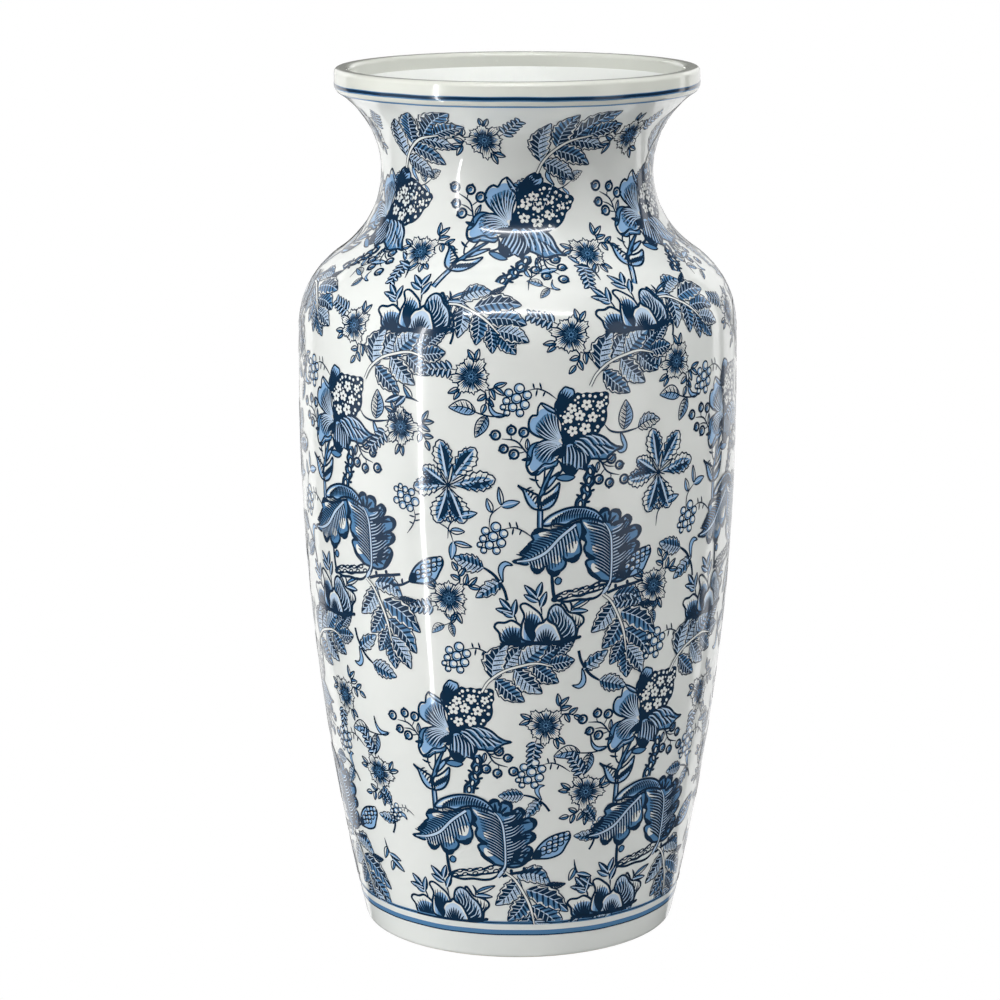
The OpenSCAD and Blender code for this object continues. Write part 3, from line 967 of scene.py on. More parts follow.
def peony(m):
    """A half-open peony on a dark ledge: wavy petals, fanned hatching, one white petal."""
    peony_outer_petals(m)
    peony_inner_petals(m)
    peony_front_petal(m)
    peony_leaves(m)


def spray(m):
    """The bunch of toothed leaflets below the peony, on one pale curved midrib."""
    m.compound_leaf([
        (0, (-17.6, -13.6), (-8.4, -2), 8.6, ("ink", "wash"), 1.4),
        (0, (-4, -10), (7, -2.4), 8, ("ink", "mid"), 0.8),
        (0, (4, -6.6), (12.4, 0.4), 5.4, ("mid", "ink"), 0.4),
        (1, (-11, -11.4), (1, -1.4), 8.8, ("wash", "mid"), 1),
        (1, (-22, -17), (-16, -1), 9.6, ("ink", "wash"), 2.8),
        (1, (1, -10.6), (12.4, -9), 7.4, ("mid", "ink"), 0),
        (0, (-5, -11), (5.6, -18.8), 7.6, ("mid", "ink"), -0.6),
        (1, (-13, -12.6), (-1.4, -23.4), 8.6, ("ink", "wash"), -0.8),
        (0, (-21, -17.4), (-8.8, -27), 8, ("mid", "ink"), -0.6)
    ], 5, [(-27, -23), (-24, -18), (-18, -13.4), (-11, -11), (-4, -9.8), (3, -11.4)], 1.25, 0.5)


def trailing(m):
    """A drooping compound leaf with long toothed leaflets."""
    m.compound_leaf([
        (0, (5.6, -3.4), (-4.6, -16.4), 8.6, ("wash", "ink"), 1.4),
        (1, (9, -12), (0.6, -24), 8.6, ("mid", "ink"), 1.2),
        (0, (10.6, -19.6), (4.6, -31.6), 7.4, ("mid", "ink"), 0.8),
        (0, (12, -25), (13, -38.4), 8, ("ink", "mid"), 0),
        (0, (5, -1.4), (19.4, -6.6), 8.4, ("mid", "wash"), 3),
        (1, (18, -6), (26, -6.4), 2.8, ("mid", None), -0.8),
        (1, (9, -8.6), (27, -20.4), 9.6, ("ink", "mid"), 1.8),
        (0, (11, -16.6), (24.4, -30), 9.4, ("mid", "ink"), 1.6),
        (1, (12, -24), (21, -37.4), 8, ("wash", "ink"), 1)
    ], 5, [(0, 0), (4, -3.6), (8, -11), (10.6, -18), (12, -26)], 1.25, 0.5)


def leaf_spray(m):
    """A rising spray of seven toothed leaflets on a curved stem."""
    m.compound_leaf([
        (0, (1.6, 5), (4.6, 24), 9, ("ink", "wash"), 2.6),
        (1, (8, 11.4), (16.6, 29), 9.4, ("mid", "ink"), 1.6),
        (0, (15, 15), (37, 30), 10, ("ink", "mid"), 1.6),
        (1, (21, 16.2), (38.6, 21.6), 7.6, ("mid", "ink"), 1),
        (0, (12, 14.4), (30, 10.2), 7.6, ("wash", "ink"), 1.2),
        (1, (6.4, 10.2), (23, 3), 8, ("mid", "ink"), 1.2),
        (0, (2.4, 5), (16.4, -3), 7.6, ("wash", "ink"), 0.8)
    ], 6, [(0, 0), (2.4, 5), (7, 10), (14, 14.4), (24, 16.6)], 1.3, 0.4)
    m.fill("ink", ellipse(0, -1, 2, 1.6))


def oak_upright_leaf(m):
    """The upright lobed leaf on the right, with thick dark hollows and white patches."""
    m.shape("mid", [
        (15, -15.7), (18, -16.1), (21.4, -15.2), (24, -13.1), (26, -9.7), (26.5, -7.6), (25.2, -6),
        (22.6, -6), (25.4, -4.2), (27.6, -2.6), (28.1, -0.7), (26.6, 0.7), (23.4, 0.6), (26.6, 2),
        (28.7, 4.6), (28.2, 6.8), (25.2, 7.6), (21.6, 6.6), (23.4, 9), (23.6, 11.2), (21.7, 12.5),
        (18.4, 10.6), (18.7, 13.6), (17, 15.2), (14.6, 15), (13.4, 13.2), (13, 15.6), (10.8, 16.2),
        (8.2, 14.2), (5, 15.4), (1.4, 14.6), (0.8, 11.6), (1.6, 9), (3, 6.6), (1.6, 4.6), (3.2, 2.4),
        (2.4, 0.4), (2.7, -1.6), (4.2, -3.5), (7.2, -5), (4.6, -5.2), (3.2, -6.2), (3.6, -7.9),
        (5, -10.4), (7, -12.8), (10, -14.7), (13, -15.5)], 0.9)
    for crescent in (
            [(21.4, -14.6), (25, -10.6), (26, -7.4)], [(25.6, -3.6), (27.6, -1), (26, 0.3)],
            [(27.4, 2.8), (28.3, 5.4), (26, 7)], [(23.2, 8.4), (23.4, 11), (21, 12)],
            [(18.6, 12), (17.6, 14.6), (15, 14.6)], [(12.8, 15.4), (10.6, 15.6), (8.6, 13.8)],
            [(3.6, -8), (6, -11.6), (10, -14.2)], [(2.8, -1.6), (4.6, -3.8), (7.4, -4.8)],
            [(2, 7.6), (1.6, 4.8), (3.4, 2.4)]):
        m.line(crescent, 1.6, start=0.3, end=0.3)
    for patch in (
            [(1.8, 11.2), (4.6, 9.7), (7.8, 8.4), (8.8, 6.6), (6, 6.9), (3.4, 8.6)],
            [(6.2, 0.6), (9.4, 0.8), (10.2, -1.4), (7.4, -2.8), (6, -1)],
            [(6, -7), (8.8, -8), (9.8, -10.4), (7, -11), (5.6, -9)]):
        m.blob("white", patch)


def oak_upright_veins(m):
    """The upright leaf's hatching, lobe by lobe and along the rib, and the rib itself."""
    for hub, tips in [
            ((12.4, 8),
             [(9.4, 14), (11.4, 14.6), (14.4, 13.8), (16.8, 13), (18.4, 10.4), (20.8, 10.8), (22.4, 10)]),
            ((14.4, 3), [(21.6, 7), (24.6, 6.8), (27, 5.8)]),
            ((14.9, -4), [(24, 0.6), (26.6, -0.4), (25.8, -2)]),
            ((15, -12), [(24, -6.6), (25, -8.4), (23.8, -11), (21.6, -13.6), (18.6, -14.8)])]:
        m.fan(hub, tips, 0.95, 0.3, 0.03, "detail")
        m.fan((hub[0] + 0.6, hub[1] - 0.8), tips, 0.36, 0.45, 0.03, "vein")
    rungs = 15
    for i in range(rungs):
        t = i / rungs
        x, y = 14.7 - 0.7 * t * t, -14 + 21 * t
        m.line([(x, y), (x - 3.6, y + 3), (x - 7.5 - 3.5 * t, y + 5.4)], 0.68, "detail", 0.9, 0.4)
        m.line([(x, y), (x + 4.8, y + 1.8), (x + 10.6 - 2.6 * t, y + 5.6)], 0.68, "detail", 0.9, 0.4)
        m.line([(x + 1, y + 1.1), (x + 4.6, y + 2.5), (x + 9.6 - 2.6 * t, y + 5.8)], 0.36, "vein", 0.9, 0.3)
        m.line([(x - 1, y + 1.4), (x - 3.6, y + 3.8), (x - 6.6 - 2 * t, y + 5.6)], 0.3, "vein", 0.9, 0.3)
    rib = [(13, -18), (14.5, -15), (14.9, -8), (14.8, -2), (14.3, 4), (12.4, 8.4), (9, 11.8)]
    m.line(rib, 1.15, "detail", 0.9, 0.6)
    m.level = 1
    m.line(rib, 0.55, "pale", 0.9, 0.5)


def oak_folded_leaf(m):
    """The leaf that hangs to the left, with white patches and hatching on both sides of its rib."""
    m.shape("mid", [
        (0.6, 11.2), (-4, 10.1), (-8, 9), (-12, 8.2), (-16, 8.8), (-18.8, 8.1), (-20.1, 6), (-19.2, 4.3),
        (-21.2, 2.6), (-22, 0.6), (-24.2, -0.7), (-24.4, -2.2), (-22.8, -2.8), (-24.8, -4), (-27.8, -4.9),
        (-25, -5.8), (-22, -6.3), (-20.2, -5.4), (-20.1, -7.2), (-19, -9.2), (-16.4, -9.5), (-14.9, -8),
        (-13.9, -5.4), (-13.6, -7.2), (-12.6, -10), (-10.4, -11.1), (-8, -9.6), (-5.9, -7.6),
        (-5.5, -5.4), (-7, -3.6), (-5.4, -4.7), (-3.4, -5.5), (-0.9, -4.6), (0.9, -2), (0.9, 0.8),
        (0.4, 3), (1.4, 6.6)], 0.85)
    for crescent in (
            [(-24, -1.6), (-22, 0.4), (-20, 2.6)], [(-19.6, -8), (-17.6, -9.4), (-15, -8)],
            [(-13, -8.6), (-10.4, -10.8), (-7.4, -9)], [(-5, -4.6), (-2, -5), (0.6, -2.4)],
            [(-19.6, 6.6), (-17.6, 8.2), (-14, 8)]):
        m.line(crescent, 2, start=0.3, end=0.3)
    for patch in (
            [(-5.6, 1), (-3.8, 2.5), (-0.8, 3.2), (-0.6, 1), (-1.8, -1.6), (-3.8, -1.8), (-5.6, -1)],
            [(-17.2, 7), (-14, 7.7), (-11.4, 7.1), (-13, 5.5), (-16, 5.5)],
            [(-18.8, -7), (-17.2, -5.6), (-15.4, -6), (-16.4, -8.2)],
            [(-12.2, -4), (-9.6, -2.4), (-7.2, -4), (-9, -6.2), (-10.8, -5.8)]):
        m.blob("white", patch)
    rungs = 17
    for i in range(rungs):
        t = i / rungs
        x, y = -1.6 - 21 * t, 9.8 - 14 * t
        drop = 11 * math.sin(math.pi * (0.18 + 0.74 * t))
        m.line([(x, y), (x + 0.9, y - 0.5 * drop), (x + 1.6, y - drop)], 0.62, "detail", 0.9, 0.5)
        m.line([(x - 0.5, y - 0.9), (x + 0.3, y - 0.5 * drop), (x + 0.9, y - 0.8 * drop)], 0.32, "vein",
               0.9, 0.3)
        m.line([(x, y), (x - 3.4, y + 1.2), (x - 7 + 2 * t, y + 1.6)], 0.62, "detail", 0.9, 0.3)
    rib = [(-1.4, 10.2), (-8, 5), (-14, -1.2), (-20, -4.1), (-26, -5)]
    m.line(rib, 1.5, "detail", 0.9, 0.4)
    m.level = 2
    m.line(rib, 0.85, "pale", 0.9, 0.4)


def oak_arch(m):
    """The folded edge that arches over both leaves."""
    m.shape("wash", [
        (-15.6, 10.6), (-14.6, 12.7), (-12, 14.8), (-8, 16.6), (-4, 17.6), (0, 17.7), (4, 17),
        (7.4, 15.4), (9.6, 13.2), (11, 10.4), (8, 11.6), (4, 12.6), (0, 12.6), (-3, 11.8), (-6, 10.4),
        (-10, 11), (-13.4, 10.2)], 0.8)
    m.blob("mid", [
        (-13, 11.6), (-8, 14), (-3, 14.6), (3, 14.8), (8, 13), (4, 13), (0, 13), (-4, 12), (-8, 11.6)])
    m.blob("white", [(-14.4, 11.4), (-11, 14.2), (-7, 15.6), (-8.6, 13.4), (-11.4, 12)])
    for i in range(19):
        x = -11 + 1.1 * i
        top = 17 - 0.04 * (x + 1) ** 2
        m.line([(x - 1, top - 4), (x - 0.8, top - 1.8), (x, top)], 0.6, "detail", 0.5, 0.9)
    m.level = 0


def oak_branch(m):
    """The knotted branch below the leaves, with the stem that joins it to them and a bud."""
    for strand in (
            [(-10, -20.6), (-7, -19.2), (-4, -18.4), (-1, -18.6), (2, -17.4), (5, -17.4), (8, -15.8),
            (11, -15)],
            [(-10, -21.4), (-6, -21.6), (-3, -20.6), (1, -20.8), (4, -19.8), (8, -19.2), (12, -18.2)],
            [(-10, -22), (-5, -23), (0, -22.4), (5, -22.6), (9, -21.6), (13, -18)]):
        m.line(strand, 0.95, start=0.9, end=0.6)
    for i in range(9):
        x, y = -8 + 2.3 * i, -20.4 + 0.42 * i
        knot_y = y + (0.9 if i % 2 else -0.9)
        m.fill("white", ellipse(x, knot_y, 1.1, 0.55, 20, 10))
        m.ring("detail", ellipse(x, knot_y, 1.2, 0.65, 20, 10), 0.5)
    stem = [(14.4, -15.8), (13, -18.2), (11, -21)]
    m.line(stem, 1.9, start=0.9, end=0.7)
    m.line(stem, 1, "vein", 0.9, 0.6)
    m.line([(-11.4, -10.8), (-11.1, -14), (-10.7, -18), (-10, -22)], 1.2, start=0.7, end=1.3)
    m.fill("ink", ellipse(-9.6, -21.6, 2, 1.4, 20))
    m.shape("mid", [(-10, -13.6), (-8.8, -12.2), (-7.2, -13.2), (-7.8, -15), (-9.4, -15.2)], 0.5)
    m.line([(13, -20.6), (18, -19), (24, -18), (30, -16.8)], 1.1, start=0.9, end=0.8)
    for x, y in [(17, -17.9), (22.6, -16.8)]:
        m.fill("ink", ellipse(x, y, 0.8, 1.1, 0, 8))


def oak(m):
    """A pair of oak leaves, one upright and one folded over to the left, on a knotted branch."""
    oak_upright_leaf(m)
    oak_upright_veins(m)
    oak_folded_leaf(m)
    oak_arch(m)
    oak_branch(m)


MOTIFS = [hydrangea, berries, tulip, twist, cluster, long_vine, hook_vine, cross_vine, sprig,
          twig_leaves, starflower, star_leaf, cone, peony, spray, trailing, leaf_spray, oak]


# ---------------------------------------------------------------- where the print goes

# The print is cut off below and above these distances along the wall, in millimetres
FOOT_CUT = 17.2
RIM_CUT = 389.6
CUT_SLACK = 0.01

# Angles of the columns of print, in degrees, and how far each one on the body is raised
BODY_COLUMNS = [(0, 0), (55.6, 2), (116.5, 1), (175.5, -1), (235, 1), (294.4, 3)]
UPPER_COLUMNS = range(0, 360, 60)

BAND_AROUND = 2 * AROUND
BAND_ROW = 0.8
BAND_WOBBLE = 0.18
# The waves in a band's edges: how many go round the vase, where they start, and how strong
BAND_WAVES = [(3, 1, 1), (7, 0, 0.6), (19, 0, 0.3)]

# Stamps that are placed together, as a motif with its place in the group and its own turn
LOWER_GROUP = [
    ("hydrangea", -1.8, -2, 0), ("berries", -25, -2, 0), ("berries", 17, -16, 170),
    ("tulip", -13.5, -26, 0), ("twist", 6, -13, 0),
]
HYDRANGEA_GROUP = LOWER_GROUP + [("cluster", -22.5, 15.5, 0), ("long_vine", 14, 4, 0)]
PEONY_GROUP = [("peony", 0, 0, 0), ("spray", 0, 0, 0)]


def wall_table():
    """Along the outside from the foot's edge to the rim: how far along the wall each point
    lies, and its radius, its height, and its normal outwards and upwards."""
    runs = [
        body_arc(FOOT_EDGE_END, SHOULDER_START, steps=400),
        arc(SHOULDER_C, SHOULDER_CURVE, SHOULDER_START, SHOULDER_END, steps=100),
        arc(NECK_C, NECK_CURVE, SHOULDER_END + 180, 180, -1, steps=100),
        arc(MOUTH_C, MOUTH_CURVE, 180, 180 - MOUTH_ANGLE, -1, steps=100),
        arc(UNDER_RIM_C, UNDER_RIM_CURVE, -MOUTH_ANGLE, 0, steps=40),
        arc((RIM_R - RIM_ROUND, HEIGHT - RIM_ROUND), RIM_ROUND, 0, 90, steps=10),
    ]
    columns = np.array([(*point, *normal) for run in runs for point, normal in run]).T
    steps = np.hypot(*np.diff(columns[:2]))
    along = np.concatenate([[0], np.cumsum(steps)]) + columns[1, 0]
    return along, columns


WALL_ALONG, WALL_COLUMNS = wall_table()


def wall_at(s):
    """The radius, height, outward normal and upward normal at a distance along the wall."""
    return [np.interp(s, WALL_ALONG, column) for column in WALL_COLUMNS]


def along_at(z):
    """How far along the outside wall a height is."""
    return float(np.interp(z, WALL_COLUMNS[1], WALL_ALONG))


def place(name, theta, s, turn=0, size=1, flip=False):
    """One stamp of a motif: its origin's angle in degrees, its height along the wall in
    millimetres, and how it is turned (degrees), sized, and mirrored."""
    return (name, theta, s, turn, size, flip)


def grouped(theta, s, members, turn=0, size=1):
    """The stamps of a group whose origin has that place, and which is turned and sized as one."""
    radius = wall_at(s)[0]
    stamps = []
    for name, x, y, own_turn in members:
        u, v = rotated([(x, y)], turn)[0]
        stamps.append(place(name, theta + math.degrees(size * u / radius), s + size * v,
                            own_turn + turn, size))
    return stamps


def body_stamps():
    """One column of the print on the body."""
    return [
        *grouped(-16.8, 111, LOWER_GROUP), *grouped(13.6, 238, HYDRANGEA_GROUP),
        *grouped(-22.4, 18.3, PEONY_GROUP), *grouped(7.3, 150, PEONY_GROUP),
        place("oak", -14.9, 61.5), place("oak", 15.5, 190),
        place("trailing", 22.3, 169), place("trailing", -4.2, 43),
        place("cone", -23.9, 180), place("cone", 10.7, 56),
        place("star_leaf", -17.6, 217),
        place("starflower", -18, 168, 190, 1, True), place("starflower", -11.6, 263),
        place("starflower", 20, 80, -60), place("starflower", 7.5, 112, 80),
        place("cluster", -5.8, 195), place("cluster", -16, 142), place("cluster", 4.2, 90),
        place("cross_vine", -11, 249, -12), place("hook_vine", -2.8, 168),
        place("hook_vine", 16.1, 145, 180), place("cross_vine", -20, 156, 30, 0.6),
        place("sprig", -18, 194), place("hook_vine", 9.2, 72, 20, 0.8),
        place("twig_leaves", 17.7, 48, 180), place("hook_vine", 22.5, 52, -40, 0.8),
        place("cluster", 25.3, 63, 0, 0.6), place("cross_vine", 17, 99),
        place("sprig", -7.3, 199),
    ]


def upper_stamps():
    """One column of the print on the shoulder and the neck."""
    return [
        *grouped(1.9, 334.4, LOWER_GROUP, -24, 1.04), *grouped(-25.6, 281.5, PEONY_GROUP),
        place("trailing", -18.5, 293, 37, 0.9), place("starflower", 13.5, 280, -20),
        place("starflower", -12.3, 370, 220), place("starflower", 24.6, 319, 80),
        place("hook_vine", -17, 276, -30, 0.8), place("hook_vine", 19.5, 345, 30, 0.8),
        place("sprig", 3, 300), place("twig_leaves", 25, 304),
        place("leaf_spray", 8, 355), place("long_vine", 14, 349, 25, 0.55),
        place("cross_vine", 7, 303, -25, 0.6),
    ]


def all_stamps():
    """Every stamp of the print. The body's columns aren't evenly spaced, as on a pot printed by
    hand, and the widest gap between two of them has a few stamps of its own."""
    columns = [(body_stamps(), theta, s) for theta, s in BODY_COLUMNS]
    columns += [(upper_stamps(), theta, 0) for theta in UPPER_COLUMNS]
    stamps = [place(name, theta + column_theta, s + column_s, *rest)
              for column, column_theta, column_s in columns
              for name, theta, s, *rest in column]
    return stamps + [
        place("starflower", -30.5, 240, 40), place("cluster", -29.3, 209, -90, 0.9),
        place("sprig", -21, 201, -110), place("twig_leaves", -25, 251, 60),
    ]


def on_wall(flat, theta, s, turn, size, flip, lift):
    """Flat points of a stamp wrapped onto the outside, with their normals, and whether each
    lies between the cuts at the foot and the rim."""
    c, si = math.cos(math.radians(turn)) * size, math.sin(math.radians(turn)) * size
    x = -flat[:, 0] if flip else flat[:, 0]
    u, v = c * x - si * flat[:, 1], si * x + c * flat[:, 1]
    radius, height, out, up = wall_at(np.clip(s + v, FOOT_CUT, RIM_CUT))
    turns = math.radians(theta - 90) + u / radius
    across = (radius + lift * out) * ACROSS
    points = np.stack([across * np.cos(turns), across * np.sin(turns), (height + lift * up) * MM], 1)
    normals = np.stack([out * np.cos(turns), out * np.sin(turns), up], 1)
    inside = (s + v > FOOT_CUT - CUT_SLACK) & (s + v < RIM_CUT + CUT_SLACK)
    return points, normals, inside


def printed(name, motif, tone, stamps):
    """One tone of one motif, at all of its places round the vase, as one object."""
    flat, faces, levels = flat_mesh(motif, tone)
    if not faces:
        return None
    all_points, all_faces, corner_normals = [], [], []
    first = 0
    for number, (theta, s, turn, size, flip) in enumerate(stamps):
        lift = LIFT[tone] + LEVEL_STEP * levels + LIFT_STEP * (number % LIFTS)
        points, normals, inside = on_wall(flat, theta, s, turn, size, flip, lift)
        all_points.append(points)
        for face in faces:
            if any(inside[k] for k in face):
                corners = face[::-1] if flip else face
                all_faces.append([first + k for k in corners])
                corner_normals += [normals[k] for k in corners]
        first += len(points)
    return new_object(name, np.concatenate(all_points).tolist(), all_faces, corner_normals)


def band(name, s_low, s_high, lift):
    """A painted band round the vase between two distances along the wall."""
    rows = max(1, round((s_high - s_low) / BAND_ROW))
    points, normals = [], []
    for i in range(BAND_AROUND):
        turn = math.tau * i / BAND_AROUND
        sway = BAND_WOBBLE * sum(part * math.sin(count * turn + start)
                                 for count, start, part in BAND_WAVES)
        for k in range(rows + 1):
            share = 1 if k in (0, rows) else 0.5
            radius, height, out, up = wall_at(s_low + (s_high - s_low) * k / rows + sway * share)
            radius += lift * out
            points.append((radius * math.cos(turn) * ACROSS, radius * math.sin(turn) * ACROSS,
                           (height + lift * up) * MM))
            normals.append((out * math.cos(turn), out * math.sin(turn), up))
    stride = rows + 1
    faces = []
    for i in range(BAND_AROUND):
        here, there = i * stride, (i + 1) % BAND_AROUND * stride
        faces += [(here + k, there + k, there + k + 1, here + k + 1) for k in range(rows)]
    return new_object(name, points, faces, [normals[corner] for face in faces for corner in face])


# ---------------------------------------------------------------- materials

# Unevenness of a surface, as the noise's scale and its height in metres
GLAZE_WAVES = [(9, 0.00045), (38, 0.00008)]
CLAY_WAVES = [(900, 0.00015)]

INK_COLOURS = {
    "ink": (0.001, 0.024, 0.064),
    "mid": (0.088, 0.230, 0.430),
    "wash": (0.275, 0.470, 0.730),
    "pale": (0.520, 0.660, 0.825),
}
COAT_ROUGHNESS = 0.03


def new_material(name, colour, roughness=0.16, coat=0.5):
    """A glossy material, its nodes, its links and its shader."""
    material = bpy.data.materials.new(name)
    material.use_nodes = True
    nodes, links = material.node_tree.nodes, material.node_tree.links
    shader = nodes["Principled BSDF"]
    shader.inputs["Base Color"].default_value = (*colour, 1)
    shader.inputs["Roughness"].default_value = roughness
    shader.inputs["Coat Weight"].default_value = coat
    shader.inputs["Coat Roughness"].default_value = COAT_ROUGHNESS
    material.diffuse_color = (*colour, 1)
    return material, nodes, links, shader


def noise(nodes, links, scale, detail=2, roughness=0.5):
    """A noise texture in object space."""
    place_node = nodes.new("ShaderNodeTexCoord")
    texture = nodes.new("ShaderNodeTexNoise")
    texture.inputs["Scale"].default_value = scale
    texture.inputs["Detail"].default_value = detail
    texture.inputs["Roughness"].default_value = roughness
    links.new(place_node.outputs["Object"], texture.inputs["Vector"])
    return texture


def ripple(nodes, links, shader, waves):
    """Slight unevenness of the surface, one wave on top of another."""
    previous = None
    for scale, distance in waves:
        texture = noise(nodes, links, scale)
        bump = nodes.new("ShaderNodeBump")
        bump.inputs["Strength"].default_value = 1
        bump.inputs["Distance"].default_value = distance
        links.new(texture.outputs["Fac"], bump.inputs["Height"])
        if previous:
            links.new(previous.outputs["Normal"], bump.inputs["Normal"])
        previous = bump
    links.new(previous.outputs["Normal"], shader.inputs["Normal"])
    links.new(previous.outputs["Normal"], shader.inputs["Coat Normal"])


def varied(nodes, links, shader, scale, low, high, pale, dark):
    """A colour that drifts between two tones with noise."""
    texture = noise(nodes, links, scale, 4, 0.6)
    ramp = nodes.new("ShaderNodeValToRGB")
    for element, position, colour in zip(ramp.color_ramp.elements, (low, high), (dark, pale)):
        element.position = position
        element.color = (*colour, 1)
    links.new(texture.outputs["Fac"], ramp.inputs["Fac"])
    links.new(ramp.outputs["Color"], shader.inputs["Base Color"])


def white_glaze():
    """The wall's glaze, which drifts slightly in colour."""
    material, nodes, links, shader = new_material("white_glaze", (0.83, 0.85, 0.82))
    varied(nodes, links, shader, 14, 0.3, 0.7, (0.855, 0.872, 0.842), (0.795, 0.820, 0.795))
    ripple(nodes, links, shader, GLAZE_WAVES)
    return material


def rim_glaze():
    """The rim's glaze, which is thicker and a little greener than the wall's."""
    material, nodes, links, shader = new_material("rim_glaze", (0.75, 0.765, 0.70))
    ripple(nodes, links, shader, GLAZE_WAVES)
    return material


def bare_clay():
    """Dull speckled clay, where the foot has no glaze."""
    material, nodes, links, shader = new_material("bare_clay", (0.62, 0.54, 0.43), 0.85, 0)
    varied(nodes, links, shader, 220, 0.35, 0.65, (0.66, 0.58, 0.47), (0.54, 0.46, 0.36))
    ripple(nodes, links, shader, CLAY_WAVES)
    return material


def print_ink(tone, colour):
    """Ink under the glaze: one depth of blue, with the glaze's ripple over it."""
    material, nodes, links, shader = new_material("print_" + tone, colour)
    ripple(nodes, links, shader, GLAZE_WAVES)
    return material


# ---------------------------------------------------------------- surroundings

CAMERA_PLACE = (0, -1.4898, 0.5084)
CAMERA_LENS = 124.1
CAMERA_SENSOR = 36
CAMERA_DOWN, CAMERA_TILT, CAMERA_LEFT = 12.102, 0.185, 0.265    # degrees
ROOM_LIGHT = 0.07
TABLE_HALF = 3

# Lamps that light the vase, and lamps that are only seen in the glaze: azimuth and elevation
# in degrees, distance, width and height in metres, and watts. Azimuth 0 is the camera's side,
# positive to the right of the picture.
LIGHTING_LAMPS = {
    "key_left": (-90, 5, 1.6, 0.8, 0.8, 9.7),
    "key_front_left": (-60, 8, 1.6, 0.8, 0.8, 8.7),
    "fill_right": (90, 35, 1.6, 0.8, 0.8, 8.3),
    "fill_rear_right": (120, 5, 1.6, 0.8, 0.8, 4.0),
    "top": (0, 65, 1.6, 0.8, 0.8, 19.0),
}
MIRRORED_LAMPS = {
    "left_panel": (-77, 4, 1.6, 1.0, 1.7, 2.4),
    "left_strip": (-50, -2, 1.5, 0.06, 1.5, 6.0),
    "right_panel": (58, 5, 1.7, 0.6, 1.5, 2.0),
    "right_rear_strip": (124, 0, 1.5, 0.2, 1.6, 1.3),
    "top_panel": (0, 66, 1.5, 1.4, 0.9, 2.5),
    "top_edge": (0, 48.5, 1.5, 1.3, 0.05, 6.0),
    "backdrop_left": (-150, 0, 1.6, 1.0, 1.8, 5.0),
    "backdrop_right": (152, 0, 1.6, 1.0, 1.8, 5.0),
}
MOUTH_LAMP = (0, 80, 1.2, 0.02, 0.02, 0.016)
MOUTH_AIM, MOUTH_SPREAD = 0.36, 8    # metres above the table, and degrees


def softbox(name, where, mirrored, aim=0.2, spread=180):
    """A rectangular lamp that faces the vase at the height aim. A mirrored lamp is only seen
    in the glaze's reflections, and any other one only lights the vase."""
    azimuth, elevation, distance, width, height, watts = where
    lamp = bpy.data.lights.new(name, "AREA")
    lamp.shape = "RECTANGLE"
    lamp.size = width
    lamp.size_y = height
    lamp.energy = watts
    lamp.spread = math.radians(spread)
    obj = bpy.data.objects.new(name, lamp)
    a, e = math.radians(azimuth), math.radians(elevation)
    outward = np.array((math.sin(a) * math.cos(e), -math.cos(a) * math.cos(e), math.sin(e)))
    target = np.array((0, 0, aim))
    spot = target + distance * outward
    obj.location = spot.tolist()
    obj.rotation_mode = "QUATERNION"
    obj.rotation_quaternion = Vector((target - spot).tolist()).to_track_quat("-Z", "Y")
    obj.visible_glossy = mirrored
    obj.visible_diffuse = not mirrored
    obj.visible_camera = False
    bpy.context.scene.collection.objects.link(obj)


def make_lights():
    """All the lamps. The last one is narrow and brightens the inside of the mouth."""
    for name, where in LIGHTING_LAMPS.items():
        softbox(name, where, False)
    for name, where in MIRRORED_LAMPS.items():
        softbox(name, where, True)
    softbox("into_mouth", MOUTH_LAMP, False, MOUTH_AIM, MOUTH_SPREAD)


def make_camera():
    """The camera, where the photograph was taken from."""
    data = bpy.data.cameras.new("camera")
    data.lens = CAMERA_LENS
    data.sensor_width = CAMERA_SENSOR
    camera = bpy.data.objects.new("camera", data)
    camera.location = CAMERA_PLACE
    camera.rotation_mode = "XYZ"
    camera.rotation_euler = [math.radians(a) for a in (90 - CAMERA_DOWN, CAMERA_TILT, CAMERA_LEFT)]
    bpy.context.scene.collection.objects.link(camera)
    bpy.context.scene.camera = camera


def make_world():
    """White behind the vase as the camera sees it, and a dim room in the reflections."""
    world = bpy.data.worlds.new("studio")
    bpy.context.scene.world = world
    world.use_nodes = True
    nodes, links = world.node_tree.nodes, world.node_tree.links
    path = nodes.new("ShaderNodeLightPath")
    room = nodes.new("ShaderNodeMath")
    room.operation = "MULTIPLY"
    room.inputs[1].default_value = ROOM_LIGHT
    both = nodes.new("ShaderNodeMath")
    both.operation = "ADD"
    links.new(path.outputs["Is Glossy Ray"], room.inputs[0])
    links.new(room.outputs["Value"], both.inputs[0])
    links.new(path.outputs["Is Camera Ray"], both.inputs[1])
    background = nodes["Background"]
    background.inputs["Color"].default_value = (1, 1, 1, 1)
    links.new(both.outputs["Value"], background.inputs["Strength"])


def make_floor():
    """A white table top, which only catches and returns light."""
    corners = [(-1, -1), (1, -1), (1, 1), (-1, 1)]
    floor = new_object("table_top", [(TABLE_HALF * x, TABLE_HALF * y, 0) for x, y in corners],
                       [(0, 1, 2, 3)])
    floor.data.materials.append(new_material("table_white", (0.9, 0.9, 0.9), 0.6, 0)[0])
    floor.visible_glossy = False
    floor.visible_camera = False


# ---------------------------------------------------------------- the vase

INK_OF_TONE = {"detail": "ink", "vein": "pale"}

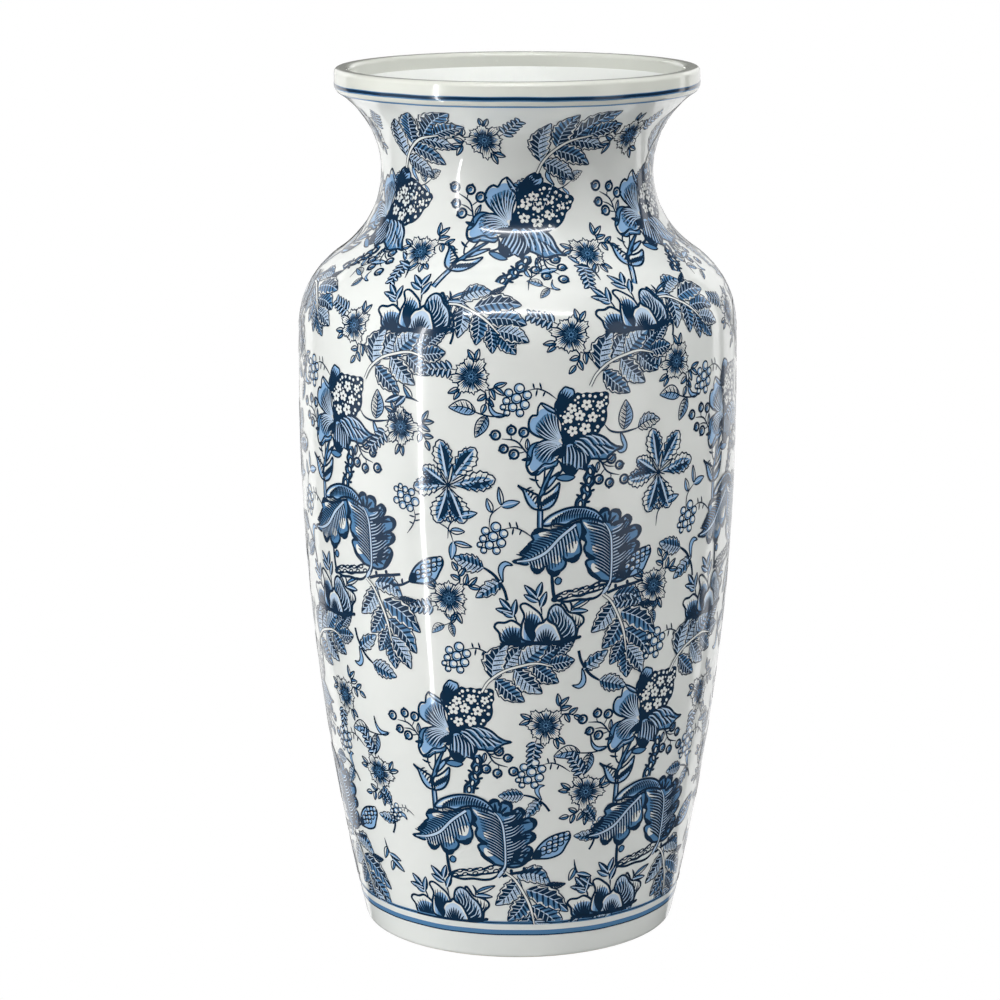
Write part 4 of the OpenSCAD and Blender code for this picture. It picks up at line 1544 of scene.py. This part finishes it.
# Painted bands: from and to along the wall, lift, ink and slot
BANDS = {
    "foot_band": (11.6, 14.2, 0.06, "mid", "cobalt_wash"),
    "foot_band_edge": (11.5, 12.1, 0.09, "ink", "cobalt_print"),
    "foot_line": (17.0, 18.5, 0.12, "mid", "cobalt_wash"),
    "foot_line_edge": (17.5, 18.0, 0.15, "ink", "cobalt_print"),
    "rim_band": (along_at(372), along_at(374), 0.06, "mid", "cobalt_wash"),
    "rim_band_edge": (along_at(372.5), along_at(373.7), 0.09, "ink", "cobalt_print"),
    "rim_line": (along_at(369.4), along_at(370.1), 0.06, "mid", "cobalt_wash"),
}


def finish_piece(obj, material):
    """Give a piece its material, and fix it to the vase's one body."""
    obj.data.materials.append(material)
    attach(obj, "root")


def make_sections(white):
    """The glazed clay sections, and the bare clay under the foot."""
    rim = rim_glaze()
    for node, outline in section_outlines().items():
        piece = turned(node + "_glazed", outline)
        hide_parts(node)
        if node == "rim_ring":
            finish_piece(piece, rim)
        else:
            finish_piece(piece, white)
    bare_foot = turned("foot_ring_bare", foot_underside())
    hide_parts("foot_ring")
    finish_piece(bare_foot, bare_clay())


def make_print(white, inks):
    """The print, one piece for each tone of each motif."""
    stamps = all_stamps()
    for draw in MOTIFS:
        motif = Motif()
        draw(motif)
        name = draw.__name__
        spots = [stamp[1:] for stamp in stamps if stamp[0] == name]
        for tone in LIFT:
            piece = printed("print_" + name + "_" + tone, motif, tone, spots)
            if piece is None:
                continue
            if tone in ("white", "ground"):
                finish_piece(piece, white)
            else:
                ink = INK_OF_TONE.get(tone, tone)
                finish_piece(piece, inks[ink])


def make_bands(inks):
    """The bands at the foot and under the rim."""
    for name, (low, high, lift, ink, slot) in BANDS.items():
        finish_piece(band(name, low, high, lift), inks[ink])


bpy.context.scene.view_settings.view_transform = "Standard"
make_camera()
make_world()
make_floor()
make_lights()

glaze = white_glaze()
make_sections(glaze)
ink_materials = {tone: print_ink(tone, colour) for tone, colour in INK_COLOURS.items()}
make_print(glaze, ink_materials)
make_bands(ink_materials)
